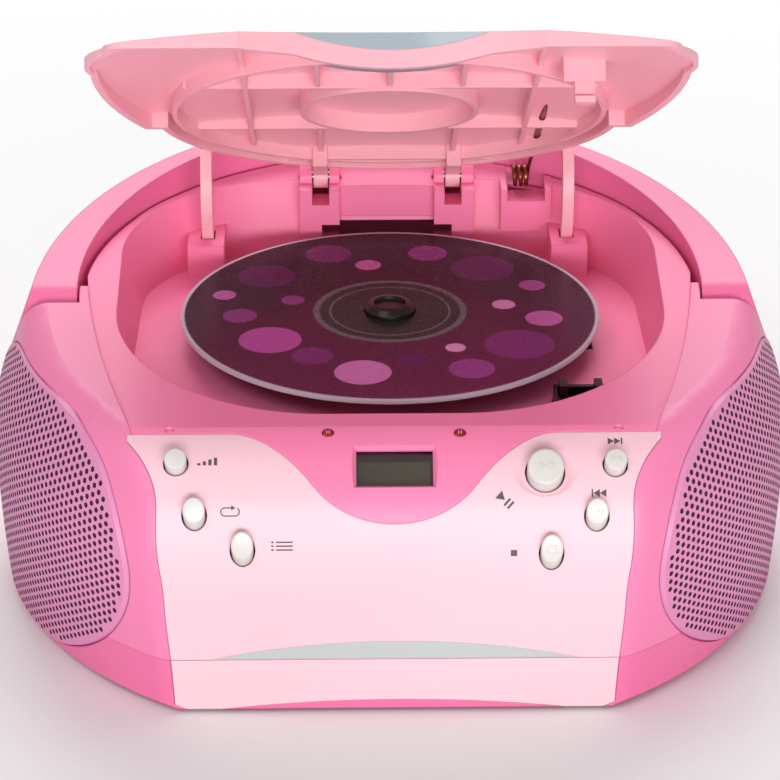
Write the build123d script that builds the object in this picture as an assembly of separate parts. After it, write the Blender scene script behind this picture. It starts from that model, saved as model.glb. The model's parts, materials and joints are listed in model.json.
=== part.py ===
from build123d import *
import math
import os

# Portable CD radio, barrel shaped, with its disc lid standing open.
# Millimetres. X to the right, Y to the rear, Z up; the table is Z = 0 and the
# origin lies under the middle of the whole object.

# body
front_y = -105.0
rear_y = 106.4
belly_r = 113.5
belly_z = 44.0
base_z = 1.2
base_chamfer = 1.5
lower_arc = 440.0
upper_arc = 56.0
shoulder_angle = 20.5
shoulder_fillet = 9.0
wall = 2.2
seam_z = 17.0

# disc, which sets the scale of everything
disc_r = 60.0
disc_hole_r = 7.5
disc_thickness = 1.2
disc_top_z = 75.0
disc_y = -7.5
barrel_y = disc_y - 3.0

# deck around the disc well
deck_z_front = 76.0
deck_y_front = disc_y - 72.0
deck_slope = 5.0
ridge_rise = 1.0
ridge_points = ((67.0, -84.0), (80.5, -36.0), (87.2, 8.0))

# front profile, from the chin up over the brow
chin_arc = 200.0
chin_top_z = 22.0
face_top_z = 35.0
face_arc = 77.3
face_turn = 17.3
brow_arc = 27.1
brow_turn = 64.4
apron_low_z = 55.8
apron_high_z = 74.6
apron_half = 43.0
panel_inset = 1.2
chin_arch_half = 46.0
chin_arch_rise = 2.8
dimple_x = 59.0
dimple_r = 1.2

# disc well
well_half = 77.0
well_front = -71.5
well_rear = 70.0
well_front_r = 59.0
well_rear_r = 48.0
well_rear_z = 89.0
well_ref_z = 80.0
well_draft = 16.0
floor_z = 66.5
floor_t = 2.0

# lid, with its own sizes measured from the hinge axis
hinge_y = disc_y + 72.0
hinge_z = 89.0
lid_open = 33.2
lid_front = 149.0
lid_front_mid = 138.5
lid_wing_half = 80.0
lid_wing_u = 121.0
lid_corner_half = 75.0
lid_tail_u = 59.0
lid_tail_half = 70.0
lid_ring_u = 70.0
lid_back_r = 66.0
lid_rim_w = 1.1
lid_dip = 2.8
lid_dip_half = 26.0
scoop_half = 24.5
scoop_depth = 3.4
scoop_reach = 24.0
lid_crown = 11.0
lid_crown_r = 640.0
lid_wall = 2.0
rib = 1.4
finger_x = 20.3
finger_w = 4.4
arm_x = 54.5
arm_w = 3.4
arm_r = 22.0
arm_depth = 5.0
arm_tip = -38.0
gap = 0.4
latch_x = 51.5
latch_w = 14.4
spring_x = 44.1
spring_wire = 0.6
spring_coil_r = 3.0
spring_pitch = 1.75
spring_turns = 3
spring_sides = 8
spring_leg = (45.5, -61.5, 8.3)
rack_teeth = 14
rack_angles = (-34.0, -8.0)

# carrying handle
handle_pivot_y = disc_y
handle_pivot_z = 75.5
handle_slope = 10.0
handle_half = 9.3
handle_inner_r = 89.2
handle_wall = 2.4
handle_gap = 0.6
handle_swing = 1.6
pivot_r = 2.5

# speakers
grille_y = disc_y - 43.0
grille_z = 39.5
grille_length = 98.0
grille_height = 72.0
grille_corner = 35.5
grille_proud = 0.6
grille_t = 1.4
speaker_r = 33.0
cone_r = 28.0
speaker_az = 66.0
speaker_reach = 98.0

# keys on the front panel: name, X, Z on the face, cap radius, how far it stands out
key_tilt = 52.0
key_small_r = 2.9
key_play_r = 4.8
key_gap = 0.45
key_stem_end = 92.6
key_board_reach = 89.0
switch_height = 2.4
play_dish_r = 8.4
play_dish_depth = 1.1
keys = (
    ("bass_key", -57.0, 69.8, key_small_r, 3.0),
    ("repeat_key", -52.2, 58.4, key_small_r, 2.6),
    ("program_key", -39.8, 49.3, key_small_r, 2.2),
    ("play_key", 39.2, 67.9, key_play_r, 2.6),
    ("next_key", 57.5, 69.1, key_small_r, 3.0),
    ("back_key", 52.5, 57.6, key_small_r, 2.4),
    ("stop_key", 40.8, 47.9, key_small_r, 2.2),
)

# display
display_half = 10.0
display_low_z = 65.6
display_high_z = 72.4
window_depth = 4.2

# rear service panel
rear_flat_y = 88.0
rear_half = 52.0
rear_high_z = 47.0
wheel_r = 11.0
wheel_t = 4.8
wheel_x = 34.0
wheel_z = 37.6
wheel_y = rear_flat_y + 3.0 - wheel_r
jack_r = 1.75
jack_x = -14.0
inlet_x = 14.0
socket_z = 24.2

# telescopic antenna
antenna_z = 68.0
antenna_pivot_x = 38.0
antenna_radii = (2.5, 1.95, 1.45, 0.95)
antenna_bores = (2.01, 1.51, 1.01)
antenna_half = 2.6
antenna_lug = 8.0
antenna_length = 84.0
antenna_y = rear_y - antenna_half

# battery bay and its door, and the boards over it
bay_half = 55.0
bay_front_y = -12.0
bay_rear_y = 68.0
bay_high_z = 32.0
bay_wall = 1.6
door_half = 58.0
door_gap = 0.3
board_z = 41.5

# feet and screws under the body
foot_r = 7.0
feet_at = ((-60.0, -74.0), (60.0, -74.0), (-68.0, 50.0), (68.0, 50.0))
screws_at = ((-84.0, -30.0), (84.0, -30.0), (-30.0, -84.0), (30.0, -84.0), (-78.0, 34.0), (78.0, 34.0))

UP = (Align.CENTER, Align.CENTER, Align.MIN)
DOWN = (Align.CENTER, Align.CENTER, Align.MAX)
huge = 400.0


def sine(degrees):
    return math.sin(math.radians(degrees))


def cosine(degrees):
    return math.cos(math.radians(degrees))


def tangent(degrees):
    return math.tan(math.radians(degrees))


def block(xs, ys, zs):
    """A box between three pairs of limits."""
    limits = (xs, ys, zs)
    middle = [(low + high) / 2 for low, high in limits]
    size = [high - low for low, high in limits]
    return Pos(*middle) * Box(*size)


def rod(start, end, radius):
    """A cylinder from one point to another."""
    run = Vector(*end) - Vector(*start)
    plane = Plane(origin=start, z_dir=run)
    return plane * Cylinder(radius, run.length, align=UP)


def below(y, z, slope):
    """Everything under a plane that climbs to the rear through (y, z)."""
    plane = Plane(origin=(0, y, z), x_dir=(1, 0, 0), z_dir=(0, -sine(slope), cosine(slope)))
    return plane * Box(huge, huge, huge, align=DOWN)


def mirrored(shape):
    return mirror(shape, about=Plane.YZ)


def both_sides(shape):
    return shape + mirrored(shape)


def deck_z(y):
    return deck_z_front + (y - deck_y_front) * tangent(deck_slope)


def barrel(inset=0.0):
    """The barrel of revolution that the whole outside follows, drawn in by inset."""
    low_r = lower_arc - inset
    high_r = upper_arc - inset
    low_turn = math.degrees(math.asin((belly_z - base_z) / lower_arc))
    low = (belly_r - lower_arc + low_r * cosine(low_turn), belly_z - low_r * sine(low_turn))
    low_mid = (
        belly_r - lower_arc + low_r * cosine(low_turn / 2),
        belly_z - low_r * sine(low_turn / 2),
    )
    high = (
        belly_r - upper_arc + high_r * cosine(shoulder_angle),
        belly_z + high_r * sine(shoulder_angle),
    )
    high_mid = (
        belly_r - upper_arc + high_r * cosine(shoulder_angle / 2),
        belly_z + high_r * sine(shoulder_angle / 2),
    )
    top_z = 112.0
    top = (high[0] - (top_z - high[1]) * tangent(shoulder_angle), top_z)
    base = base_z + inset
    chamfer_z = base + base_chamfer
    chamfer_top = (belly_r - lower_arc + math.sqrt(low_r ** 2 - (belly_z - chamfer_z) ** 2), chamfer_z)
    with BuildSketch(Plane.XZ) as outline:
        with BuildLine():
            Line((0, base), (low[0] - base_chamfer, base))
            Line((low[0] - base_chamfer, base), chamfer_top)
            ThreePointArc(chamfer_top, low_mid, (belly_r - inset, belly_z))
            ThreePointArc((belly_r - inset, belly_z), high_mid, high)
            Polyline(high, top, (0, top_z), (0, base))
        make_face()
    return Pos(0, barrel_y, 0) * revolve(outline.sketch, Axis.Z)


def face_y(z, inset=0.0):
    """Where the front profile lies at height z, up to the top of the face arc."""
    if z < chin_top_z:
        return front_y + chin_arc - math.sqrt((chin_arc - inset) ** 2 - (chin_top_z - z) ** 2)
    if z < face_top_z:
        return front_y + inset
    end_z = face_top_z + face_arc * sine(face_turn)
    if z < end_z:
        return front_y + face_arc - math.sqrt((face_arc - inset) ** 2 - (z - face_top_z) ** 2)
    centre_y, centre_z = brow_centre()
    return centre_y - math.sqrt(max(0.0, (brow_arc - inset) ** 2 - (z - centre_z) ** 2))


def brow_centre():
    reach = face_arc - brow_arc
    return (front_y + face_arc - reach * cosine(face_turn), face_top_z + reach * sine(face_turn))


def face_normal(z):
    """Outward direction of the front profile at height z, as (Y, Z)."""
    if z < face_top_z:
        return (-1.0, 0.0)
    end_z = face_top_z + face_arc * sine(face_turn)
    centre = (front_y + face_arc, face_top_z) if z < end_z else brow_centre()
    out = (face_y(z) - centre[0], z - centre[1])
    size = math.hypot(*out)
    return (out[0] / size, out[1] / size)


def front_prism(inset=0.0):
    """Everything behind the front profile, extruded from side to side."""
    foot = (front_y + chin_arc - math.sqrt((chin_arc - inset) ** 2 - chin_top_z ** 2), 0.0)
    chin_mid_z = chin_top_z / 2
    face_mid_z = (face_top_z + face_top_z + face_arc * sine(face_turn)) / 2
    face_end = (
        front_y + face_arc - (face_arc - inset) * cosine(face_turn),
        face_top_z + (face_arc - inset) * sine(face_turn),
    )
    centre_y, centre_z = brow_centre()
    brow_r = brow_arc - inset
    brow_mid = (
        centre_y - brow_r * cosine(face_turn + brow_turn / 2),
        centre_z + brow_r * sine(face_turn + brow_turn / 2),
    )
    brow_end = (
        centre_y - brow_r * cosine(face_turn + brow_turn),
        centre_z + brow_r * sine(face_turn + brow_turn),
    )
    back = 160.0
    climb = (back - brow_end[0]) * tangent(90.0 - face_turn - brow_turn)
    with BuildSketch(Plane.YZ) as outline:
        with BuildLine():
            ThreePointArc(foot, (face_y(chin_mid_z, inset), chin_mid_z), (front_y + inset, chin_top_z))
            Line((front_y + inset, chin_top_z), (front_y + inset, face_top_z))
            ThreePointArc(
                (front_y + inset, face_top_z), (face_y(face_mid_z, inset), face_mid_z), face_end
            )
            ThreePointArc(face_end, brow_mid, brow_end)
            Polyline(brow_end, (back, brow_end[1] + climb), (back, 0), foot)
        make_face()
    return extrude(outline.sketch, amount=huge / 2, both=True)


def ridge_plan(grow=0.0):
    """Plan of the deck inside the ridge, as a tall prism."""
    shoulder = [(x + grow, disc_y + y) for x, y in ridge_points]
    rear_r = math.hypot(ridge_points[2][0] + grow, ridge_points[2][1])
    with BuildSketch(Plane.XY) as outline:
        with BuildLine():
            ThreePointArc(*shoulder)
            ThreePointArc(shoulder[2], (0, disc_y + rear_r), (-shoulder[2][0], shoulder[2][1]))
            ThreePointArc(*[(-x, y) for x, y in reversed(shoulder)])
            Polyline(
                (-shoulder[0][0], shoulder[0][1]),
                (-shoulder[0][0], front_y - 10),
                (shoulder[0][0], front_y - 10),
                shoulder[0],
            )
        make_face()
    return extrude(outline.sketch, amount=130)


def apron_prism(grow=0.0):
    """Region above the S-curve that parts the apron from the front panel."""
    reach = (apron_half ** 2 + (apron_high_z - apron_low_z) ** 2) / (2 * (apron_high_z - apron_low_z))
    arc_r = reach / 2
    low_centre = (0, apron_low_z + arc_r)
    join = (apron_half / 2, (apron_low_z + apron_high_z) / 2)
    radius = arc_r + grow
    turn = math.atan2(join[0], low_centre[1] - join[1]) / 2
    low_mid = (radius * math.sin(turn), low_centre[1] - radius * math.cos(turn))
    shoulder_centre = (apron_half, apron_high_z - arc_r)
    shoulder_r = arc_r - grow
    full = 2 * turn
    low_end = (radius * math.sin(full), low_centre[1] - radius * math.cos(full))
    high_mid = (
        shoulder_centre[0] - shoulder_r * math.sin(turn),
        shoulder_centre[1] + shoulder_r * math.cos(turn),
    )
    high_end = (apron_half, apron_high_z - grow)
    side = 90.0
    with BuildSketch(Plane.XZ) as outline:
        with BuildLine():
            ThreePointArc((-low_end[0], low_end[1]), (0, low_centre[1] - radius), low_end)
            ThreePointArc(low_end, high_mid, high_end)
            Polyline(high_end, (side, high_end[1]), (side, 120), (-side, 120), (-side, high_end[1]),
                     (-high_end[0], high_end[1]))
            ThreePointArc((-high_end[0], high_end[1]), (-high_mid[0], high_mid[1]),
                          (-low_end[0], low_end[1]))
        make_face()
    return extrude(outline.sketch, amount=huge / 2, both=True)


def well_prism(grow=0.0, low=floor_z):
    """The tapered hollow of the disc well, from its floor to above the deck."""
    top_z = 100.0
    open_up = (top_z - well_ref_z) * tangent(well_draft) + grow
    half = well_half + open_up
    front = disc_y + well_front - open_up
    rear_open = (top_z - well_rear_z) * tangent(well_draft) + grow
    rear = disc_y + well_rear + rear_open
    with BuildSketch(Plane.XY.offset(top_z)) as outline:
        with BuildLine() as edge:
            Polyline((-half, rear), (-half, front), (half, front), (half, rear), close=True)
        make_face()
        fillet(outline.vertices().group_by(Axis.Y)[0], well_front_r + open_up)
        fillet(outline.vertices().group_by(Axis.Y)[-1], well_rear_r + rear_open)
    return extrude(outline.sketch, amount=-(top_z - low), taper=well_draft)


def grille_prism(grow=0.0):
    """Side-on outline of the right speaker opening, as a prism along X."""
    size = (grille_length + 2 * grow, grille_height + 2 * grow)
    outline = Plane.YZ * Pos(grille_y, grille_z) * RectangleRounded(*size, grille_corner + grow)
    return Pos(40, 0, 0) * extrude(outline, amount=100)


def arm_sweep():
    """Slots that the lid arms pass through while the lid turns."""
    outer = arm_r + arm_depth / 2 + gap
    inner = arm_r - arm_depth / 2 - gap
    width = arm_w + 2 * gap
    ring = Cylinder(outer, width) - Cylinder(inner, width)
    ring = Pos(arm_x, hinge_y, hinge_z) * Rotation(0, 90, 0) * ring
    below_deck = block((40, 70), (hinge_y - 40, hinge_y + 40), (20, deck_z(hinge_y - 22) + 1))
    return ring & below_deck


def handle_prism(grow=0.0):
    """Side profile of the handle: round at the pivot, then a band climbing to the rear."""
    radius = handle_half + grow
    along = Vector(0, cosine(handle_slope), sine(handle_slope))
    across = Vector(0, -sine(handle_slope), cosine(handle_slope))
    pivot = Vector(0, handle_pivot_y, handle_pivot_z)
    upper, lower, far = pivot + across * radius, pivot - across * radius, along * 130.0
    with BuildSketch(Plane.YZ) as outline:
        with BuildLine():
            ThreePointArc(flat(lower), flat(pivot - along * radius), flat(upper))
            Polyline(flat(upper), flat(upper + far), flat(lower + far), flat(lower))
        make_face()
    return extrude(outline.sketch, amount=huge / 2, both=True)


def flat(point):
    return (point.Y, point.Z)


def handle_recess():
    """Space kept free for the folded handle and for its swing."""
    radius = handle_half + handle_gap
    ring = Pos(0, disc_y, 0) * (Cylinder(170, 200, align=UP) - Cylinder(handle_inner_r - handle_gap, 200, align=UP))
    along = Vector(0, cosine(handle_slope), sine(handle_slope))
    across = Vector(0, -sine(handle_slope), cosine(handle_slope))
    pivot = Vector(0, handle_pivot_y, handle_pivot_z)
    lower = pivot - across * radius
    top = 180.0
    with BuildSketch(Plane.YZ) as outline:
        with BuildLine():
            ThreePointArc(flat(lower), flat(pivot - (along + across).normalized() * radius),
                          (handle_pivot_y - radius, handle_pivot_z))
            Polyline((handle_pivot_y - radius, handle_pivot_z), (handle_pivot_y - radius, top),
                     (150, top), flat(lower + along * 165.0), flat(lower))
        make_face()
    return ring & extrude(outline.sketch, amount=huge / 2, both=True)


def body_solid(inset=0.0):
    """The closed body without handle and well, its shoulder edge rounded."""
    crown = below(deck_y_front, deck_z_front + ridge_rise - inset, deck_slope)
    solid = barrel(inset) & front_prism(inset) & crown
    high = [edge for edge in solid.edges() if edge.length > 60 and edge.center().Z > 70]
    rim = [edge for edge in high if edge.geom_type == GeomType.ELLIPSE]
    return fillet(rim, shoulder_fillet - inset)


# Shapes that several pieces share, worked out once.
BARREL = barrel()
BARREL_IN = barrel(wall)
FRONT = front_prism()
FRONT_IN = front_prism(wall)
OUTER = body_solid()
SHELL = OUTER - body_solid(wall)
DECK_PLAN = ridge_plan()
RECESS = handle_recess()
PANEL = (FRONT - FRONT_IN) & (Pos(0, 0, -panel_inset) * barrel(panel_inset))
PANEL &= block((-70, 70), (-110, -60), (base_z, 80))
pieces = {}


def make_top_case():
    """Deck, disc well, apron over the front and the hinge posts, one moulding."""
    crown = below(deck_y_front, deck_z_front, deck_slope)
    crown_in = below(deck_y_front, deck_z_front - wall, deck_slope)
    outer = BARREL & FRONT & crown & DECK_PLAN
    case = outer - (FRONT_IN & crown_in)
    case &= block((-95, 95), (-110, 100), (50, 100))
    case -= block((-95, 95), (-110, deck_y_front + 4), (50, 76)) - apron_prism()
    skirt_r = handle_inner_r - handle_swing
    skirt = Pos(0, disc_y, 0) * (Cylinder(skirt_r, 100, align=UP) - Cylinder(skirt_r - wall, 100, align=UP))
    skirt &= crown & DECK_PLAN & block((-95, 95), (handle_pivot_y - 12, 100), (64, 100))
    well = well_prism(wall, floor_z - floor_t) & crown
    case = case + skirt - well_prism(wall, floor_z - floor_t) + (well - well_prism())
    case += hinge_boxes() & crown
    case += arm_housings()
    case += both_sides(hinge_ears())
    case -= both_sides(rod((14, hinge_y, hinge_z), (27, hinge_y, hinge_z), 1.5))
    case -= both_sides(arm_sweep())
    case -= both_sides(block(
        (finger_x - finger_w / 2 - gap, finger_x + finger_w / 2 + gap),
        (hinge_y - 12.0, hinge_y + 6.0), (hinge_z - 6.0, 110)))
    case -= block((37.0, 48.5), (hinge_y - 16.0, hinge_y + 5.0), (hinge_z - 5.0, 110))
    case -= both_sides(rod((80, handle_pivot_y, handle_pivot_z), (100, handle_pivot_y, handle_pivot_z), pivot_r))
    case -= Pos(0, disc_y, floor_z - floor_t) * Cylinder(18.0, floor_t, align=UP)
    case -= block((10, 58), (disc_y - 9, disc_y + 9), (floor_z - floor_t, floor_z))
    case -= block((-20, 20), (disc_y + 58, disc_y + 80), (70.5, 76.5))
    case -= display_window_cut()
    case -= both_sides(rod((17.2, -95, 70.0), (17.2, -80, 81.0), 1.6))
    dimple_z = deck_z_front - 0.7
    case -= both_sides(Pos(dimple_x, face_y(dimple_z), dimple_z) * Sphere(dimple_r))
    case -= latch_pocket()
    return case


def hinge_boxes():
    """Blocks in the rear wall that stand under each hinge, and the wall between them."""
    rear = disc_y + well_rear + wall
    box = block((14.5, 26.8), (disc_y + 62.5, rear), (floor_z, 100))
    panel = block((-15, 15), (disc_y + 66.0, rear), (78.0, 100))
    spring_box = block((35.0, 50.5), (disc_y + 62.5, rear), (74.0, 100))
    return both_sides(box) + panel + spring_box


def arm_housings():
    """Slotted boxes on the well floor that the lid arms run down into."""
    box = block((arm_x - 5.0, arm_x + 6.0), (disc_y + 44.5, disc_y + 64.0), (floor_z - floor_t, 77.0))
    return both_sides(box)


def hinge_ears():
    ears = []
    for inner, outer in ((14.5, 17.6), (23.0, 26.8)):
        ear = rod((inner, hinge_y, hinge_z), (outer, hinge_y, hinge_z), 4.2)
        ear += block((inner, outer), (hinge_y - 4.2, hinge_y + 4.2), (80, hinge_z))
        ears.append(ear)
    return ears[0] + ears[1]


def display_frame(depth):
    """Plane on the face at the middle of the display, pushed in by depth."""
    middle = (display_low_z + display_high_z) / 2
    ny, nz = face_normal(middle)
    return Plane(
        origin=(0, face_y(middle) - ny * depth, middle - nz * depth),
        x_dir=(1, 0, 0),
        z_dir=(0, ny, nz),
    )


def display_window_cut():
    """Bevelled opening of the display."""
    height = math.hypot(face_y(display_high_z) - face_y(display_low_z), display_high_z - display_low_z)
    outer = display_frame(-1.5) * Pos(0, 0.6) * Rectangle(2 * display_half + 4.4, height + 5.0)
    inner = display_frame(1.6) * Rectangle(2 * display_half, height)
    bevel = loft([outer.faces()[0], inner.faces()[0]])
    through = display_frame(8.0) * extrude(Rectangle(2 * display_half, height), amount=8.0)
    return bevel + through


def latch_pocket():
    half = latch_w / 2 + 0.3
    return block((latch_x - half, latch_x + half), (disc_y - 52.3, disc_y - 41.7), (58.0, 76.0))


def make_speaker_shell():
    """Right-hand pod: the front quarter of the barrel, round its speaker opening."""
    shell = SHELL & block((30, 130), (-130, handle_pivot_y), (seam_z, 110))
    shell -= DECK_PLAN & block((0, 130), (-130, 0), (apron_high_z, 110))
    shell -= PANEL & block((0, 130), (-130, 0), (0, apron_high_z))
    pocket_r = handle_half + handle_gap
    pocket = rod(
        (handle_inner_r - 3, handle_pivot_y, handle_pivot_z),
        (120, handle_pivot_y, handle_pivot_z),
        pocket_r + wall,
    )
    pocket &= OUTER & block((88.7, 130), (-40, handle_pivot_y), (60, 110))
    shell = cut_grille(shell + pocket - RECESS)
    baffle = speaker_plane(speaker_reach) * extrude(Rectangle(grille_height - 3, grille_length), amount=wall)
    baffle &= BARREL_IN & block((30, 130), (-130, handle_pivot_y), (seam_z, 110)) & body_solid(wall)
    baffle -= speaker_plane(speaker_reach) * extrude(Circle(cone_r + 0.5), amount=wall)
    return shell + baffle


def cut_grille(shell):
    """Stepped opening: a seat that the grille lies on and a smaller hole through."""
    seat = grille_prism(0.4) - barrel(grille_t - grille_proud)
    return shell - seat - grille_prism(-2.0)


def make_grille():
    skin = barrel(-grille_proud) - barrel(grille_t - grille_proud)
    return skin & grille_prism()


def make_bottom_case():
    """Tray under the seam, with the battery bay and bosses for the screws."""
    tray = SHELL & block((-130, 130), (-130, 130), (0, seam_z))
    tray -= chin_plate(seam_z)
    tray = cut_grille(tray)
    tray = mirrored(cut_grille(mirrored(tray)))
    tray -= block((-door_half - door_gap, door_half + door_gap), (bay_front_y - 6, 130), (0, seam_z))
    for x, y in screws_at:
        boss = rod((x, y, base_z), (x, y, seam_z), 4.6) - rod((x, y, base_z), (x, y, 8.0), 3.1)
        tray = tray - rod((x, y, base_z), (x, y, 8.0), 3.1) + (boss - rod((x, y, 8.0), (x, y, seam_z), 1.5))
    return tray


def make_battery_door():
    """Sliding cover: the middle of the underside and of the lower back, one piece."""
    span = block((-door_half, door_half), (bay_front_y - 6 + door_gap, 130), (0, seam_z - door_gap))
    door = SHELL & span
    grips = block((-16, 16), (80, 81.6), (base_z - 1, base_z + 0.8))
    for step in range(1, 4):
        grips += Pos(0, -3.2 * step, 0) * block((-16, 16), (80, 81.6), (base_z - 1, base_z + 0.8))
    return door - grips


def make_battery_box():
    """Open-bottomed bay for six round cells, with posts for the main board."""
    low = base_z + wall + 0.4
    high = bay_high_z + bay_wall
    outer = block(
        (-bay_half - bay_wall, bay_half + bay_wall),
        (bay_front_y - bay_wall, bay_rear_y + bay_wall), (low, high))
    box = outer - block((-bay_half, bay_half), (bay_front_y, bay_rear_y), (low - 1, bay_high_z))
    for x in (-46, 46):
        for y in (0, 60):
            box += rod((x, y, high), (x, y, board_z), 3.0)
    return box


def make_battery_contacts():
    """Plates and coil-backed tabs at the two ends of the bay."""
    contacts = Part()
    for row in range(3):
        y = bay_front_y + 13.3 + row * 26.6
        for side in (-1, 1):
            plate = block((-0.4, 0.4), (y - 9, y + 9), (9, 26))
            stud = rod((-2.4, y, 17.5), (0, y, 17.5), 4.0)
            contacts += Pos(side * (bay_half - 0.4), 0, 0) * (plate + (stud if side > 0 else mirrored(stud)))
    return contacts


def make_main_board():
    """Main board with tuning and volume potentiometers, coils and capacitors."""
    board = block((-52, 52), (-8, 84), (board_z, board_z + 1.6))
    for x in (-wheel_x, wheel_x):
        board += rod((x, wheel_y, board_z - 1.2), (x, wheel_y, board_z), 5.4)
        board += rod((x, wheel_y, wheel_z - wheel_t / 2), (x, wheel_y, board_z), 2.0)
    for x, y, r in ((-40, 20, 4), (-28, 20, 4), (-40, 36, 3), (20, 66, 4.5), (8, 66, 3)):
        board += rod((x, y, board_z - 6.5), (x, y, board_z), r)
    board += block((20, 40), (22, 32), (board_z - 6, board_z))
    board += block((-20, 2), (34, 42), (board_z - 3.5, board_z))
    return board


def make_transformer():
    """Mains transformer: laminated core round a wound bobbin."""
    x, y, low = -78.0, 4.0, base_z + wall
    core = block((x - 12, x + 12), (y - 17, y + 17), (low + 4, low + 32))
    core -= block((x - 13, x + 13), (y - 11, y - 6), (low + 10, low + 26))
    core -= block((x - 13, x + 13), (y + 6, y + 11), (low + 10, low + 26))
    foot = block((x - 12, x + 12), (y - 17, y + 17), (low, low + 4))
    coil = block((x - 16, x + 16), (y - 11, y + 11), (low + 10, low + 26)) - block(
        (x - 12, x + 12), (y - 6, y + 6), (low + 10, low + 26))
    return core + foot + coil


def make_feet():
    feet = Part()
    for x, y in feet_at:
        feet += Pos(x, y, 0) * Cylinder(foot_r, base_z, align=UP)
    return feet


def make_screws():
    screws = Part()
    for x, y in screws_at:
        screws += rod((x, y, 5.4), (x, y, 8.0), 2.9) + rod((x, y, 8.0), (x, y, seam_z), 1.4)
    return screws


def make_rear_case():
    """Rear half of the barrel, with the ledge that the handle folds on to."""
    lift = handle_half / cosine(handle_slope) + handle_gap
    under = below(handle_pivot_y, handle_pivot_z - lift, handle_slope)
    under_in = below(handle_pivot_y, handle_pivot_z - lift - wall, handle_slope)
    half = block((-130, 130), (handle_pivot_y, 130), (seam_z, 110))
    case = ((BARREL & under) - (BARREL_IN & under_in)) & half
    case -= Pos(0, disc_y, 60) * Cylinder(handle_inner_r - handle_gap, 60, align=UP)
    case -= block((-rear_half, rear_half), (rear_flat_y - wall, 130), (seam_z - 5, rear_high_z))
    case += make_rear_surround()
    case += antenna_mounts() - BARREL_IN
    return mirrored(cut_grille(mirrored(cut_grille(case))))


def antenna_mounts():
    """Blocks on the back that carry the antenna pivot and hold the folded mast."""
    pivot = block((antenna_pivot_x - 5, antenna_pivot_x + 5), (80, antenna_y - 2.8), (antenna_z - 6, antenna_z + 6))
    clip_x = 6.0 - antenna_pivot_x
    clip = block((clip_x - 3, clip_x + 3), (80, antenna_y - 1.0), (antenna_z - 5, antenna_z + 5))
    clip -= rod((clip_x - 5, antenna_y, antenna_z), (clip_x + 5, antenna_y, antenna_z), antenna_radii[0] + 0.3)
    return pivot + clip


def make_handle():
    """Folded carrying handle: a channel-section bow, open underneath."""
    bore = Pos(0, disc_y, 0) * Cylinder(handle_inner_r, 200, align=UP)
    bow = (BARREL & handle_prism()) - bore
    rim = Pos(0, disc_y, 0) * Cylinder(handle_inner_r + handle_wall, 200, align=UP)
    lowered = Pos(0, 0, -2 * handle_wall) * handle_prism(handle_wall)
    inside = block((-130, 130), (handle_pivot_y + handle_half + 2, 130), (50, 130))
    bow -= (barrel(handle_wall) - rim) & lowered & inside
    pin = rod((84, handle_pivot_y, handle_pivot_z), (97, handle_pivot_y, handle_pivot_z), pivot_r + 0.05)
    return bow - both_sides(pin)


def make_handle_pivots():
    pin = rod((handle_inner_r - handle_gap - wall, handle_pivot_y, handle_pivot_z),
              (96.5, handle_pivot_y, handle_pivot_z), pivot_r)
    return both_sides(pin)


def lid_frame():
    """Where the lid stands: hinge axis at its origin, front towards local -Y."""
    return Pos(0, hinge_y, hinge_z) * Rotation(-lid_open, 0, 0)


def lid_outline(inset=0.0):
    """Plan of the lid in its own plane, as a face."""
    front = -(lid_front - inset)
    mid = -(lid_front_mid - inset)
    corner = lid_corner_half - inset
    wing = (lid_wing_half - inset, -lid_wing_u)
    tail = (lid_tail_half - inset, -(lid_tail_u + inset))
    back_r = lid_back_r - inset
    arc_dy = lid_ring_u - lid_tail_u - inset
    tail_in = (math.sqrt(back_r ** 2 - arc_dy ** 2), tail[1])
    corner_r = 7.0
    notch = 40.0
    with BuildSketch(Plane.XY) as outline:
        with BuildLine():
            ThreePointArc(tail_in, (0, -lid_ring_u + back_r), (-tail_in[0], tail_in[1]))
            Line((-tail_in[0], tail_in[1]), (-tail[0], tail[1]))
            ThreePointArc((-tail[0], tail[1]), (-wing[0] + 1.4, (tail[1] + wing[1]) / 2 - 3), (-wing[0], wing[1]))
            ThreePointArc((-wing[0], wing[1]), (-wing[0] + 0.5, wing[1] - 14), (-corner, front + corner_r))
            ThreePointArc((-corner, front + corner_r), (-corner + 1.6, front + 2.4), (-corner + corner_r, front))
            Line((-corner + corner_r, front), (-notch, front))
            ThreePointArc((-notch, front), (0, mid), (notch, front))
            Line((notch, front), (corner - corner_r, front))
            ThreePointArc((corner - corner_r, front), (corner - 1.6, front + 2.4), (corner, front + corner_r))
            ThreePointArc((corner, front + corner_r), (wing[0] - 0.5, wing[1] - 14), wing)
            ThreePointArc(wing, (wing[0] - 1.4, (tail[1] + wing[1]) / 2 - 3), tail)
            Line(tail, tail_in)
        make_face()
    return outline.sketch


def dome(drop=0.0):
    """Large ball whose cap is the crowned outside of the lid."""
    middle = -(lid_front / 2)
    return Pos(0, middle, lid_crown - drop - lid_crown_r) * Sphere(lid_crown_r)


def front_trough(half, depth, high):
    """Cylinder segment under the level high, across the front middle of the lid."""
    radius = (half ** 2 + depth ** 2) / (2 * depth)
    body = Pos(0, -110, high - depth + radius) * Rotation(90, 0, 0) * Cylinder(radius, 50, align=UP)
    return body & block((-half, half), (-160, -110), (-10, high))


def scoop():
    """Thumb recess over the lid's front edge, which the lens-shaped trim fills."""
    edge_z = lid_crown - (lid_front / 2) ** 2 / (2 * lid_crown_r)
    radius = (scoop_half ** 2 + scoop_depth ** 2) / (2 * scoop_depth)
    body = Pos(0, 0, edge_z - scoop_depth + radius) * Rotation(90, 0, 0) * Cylinder(radius, 200, align=UP)
    return body & block((-40, 40), (-160, -lid_front_mid + scoop_reach), (-10, 40))


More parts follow.
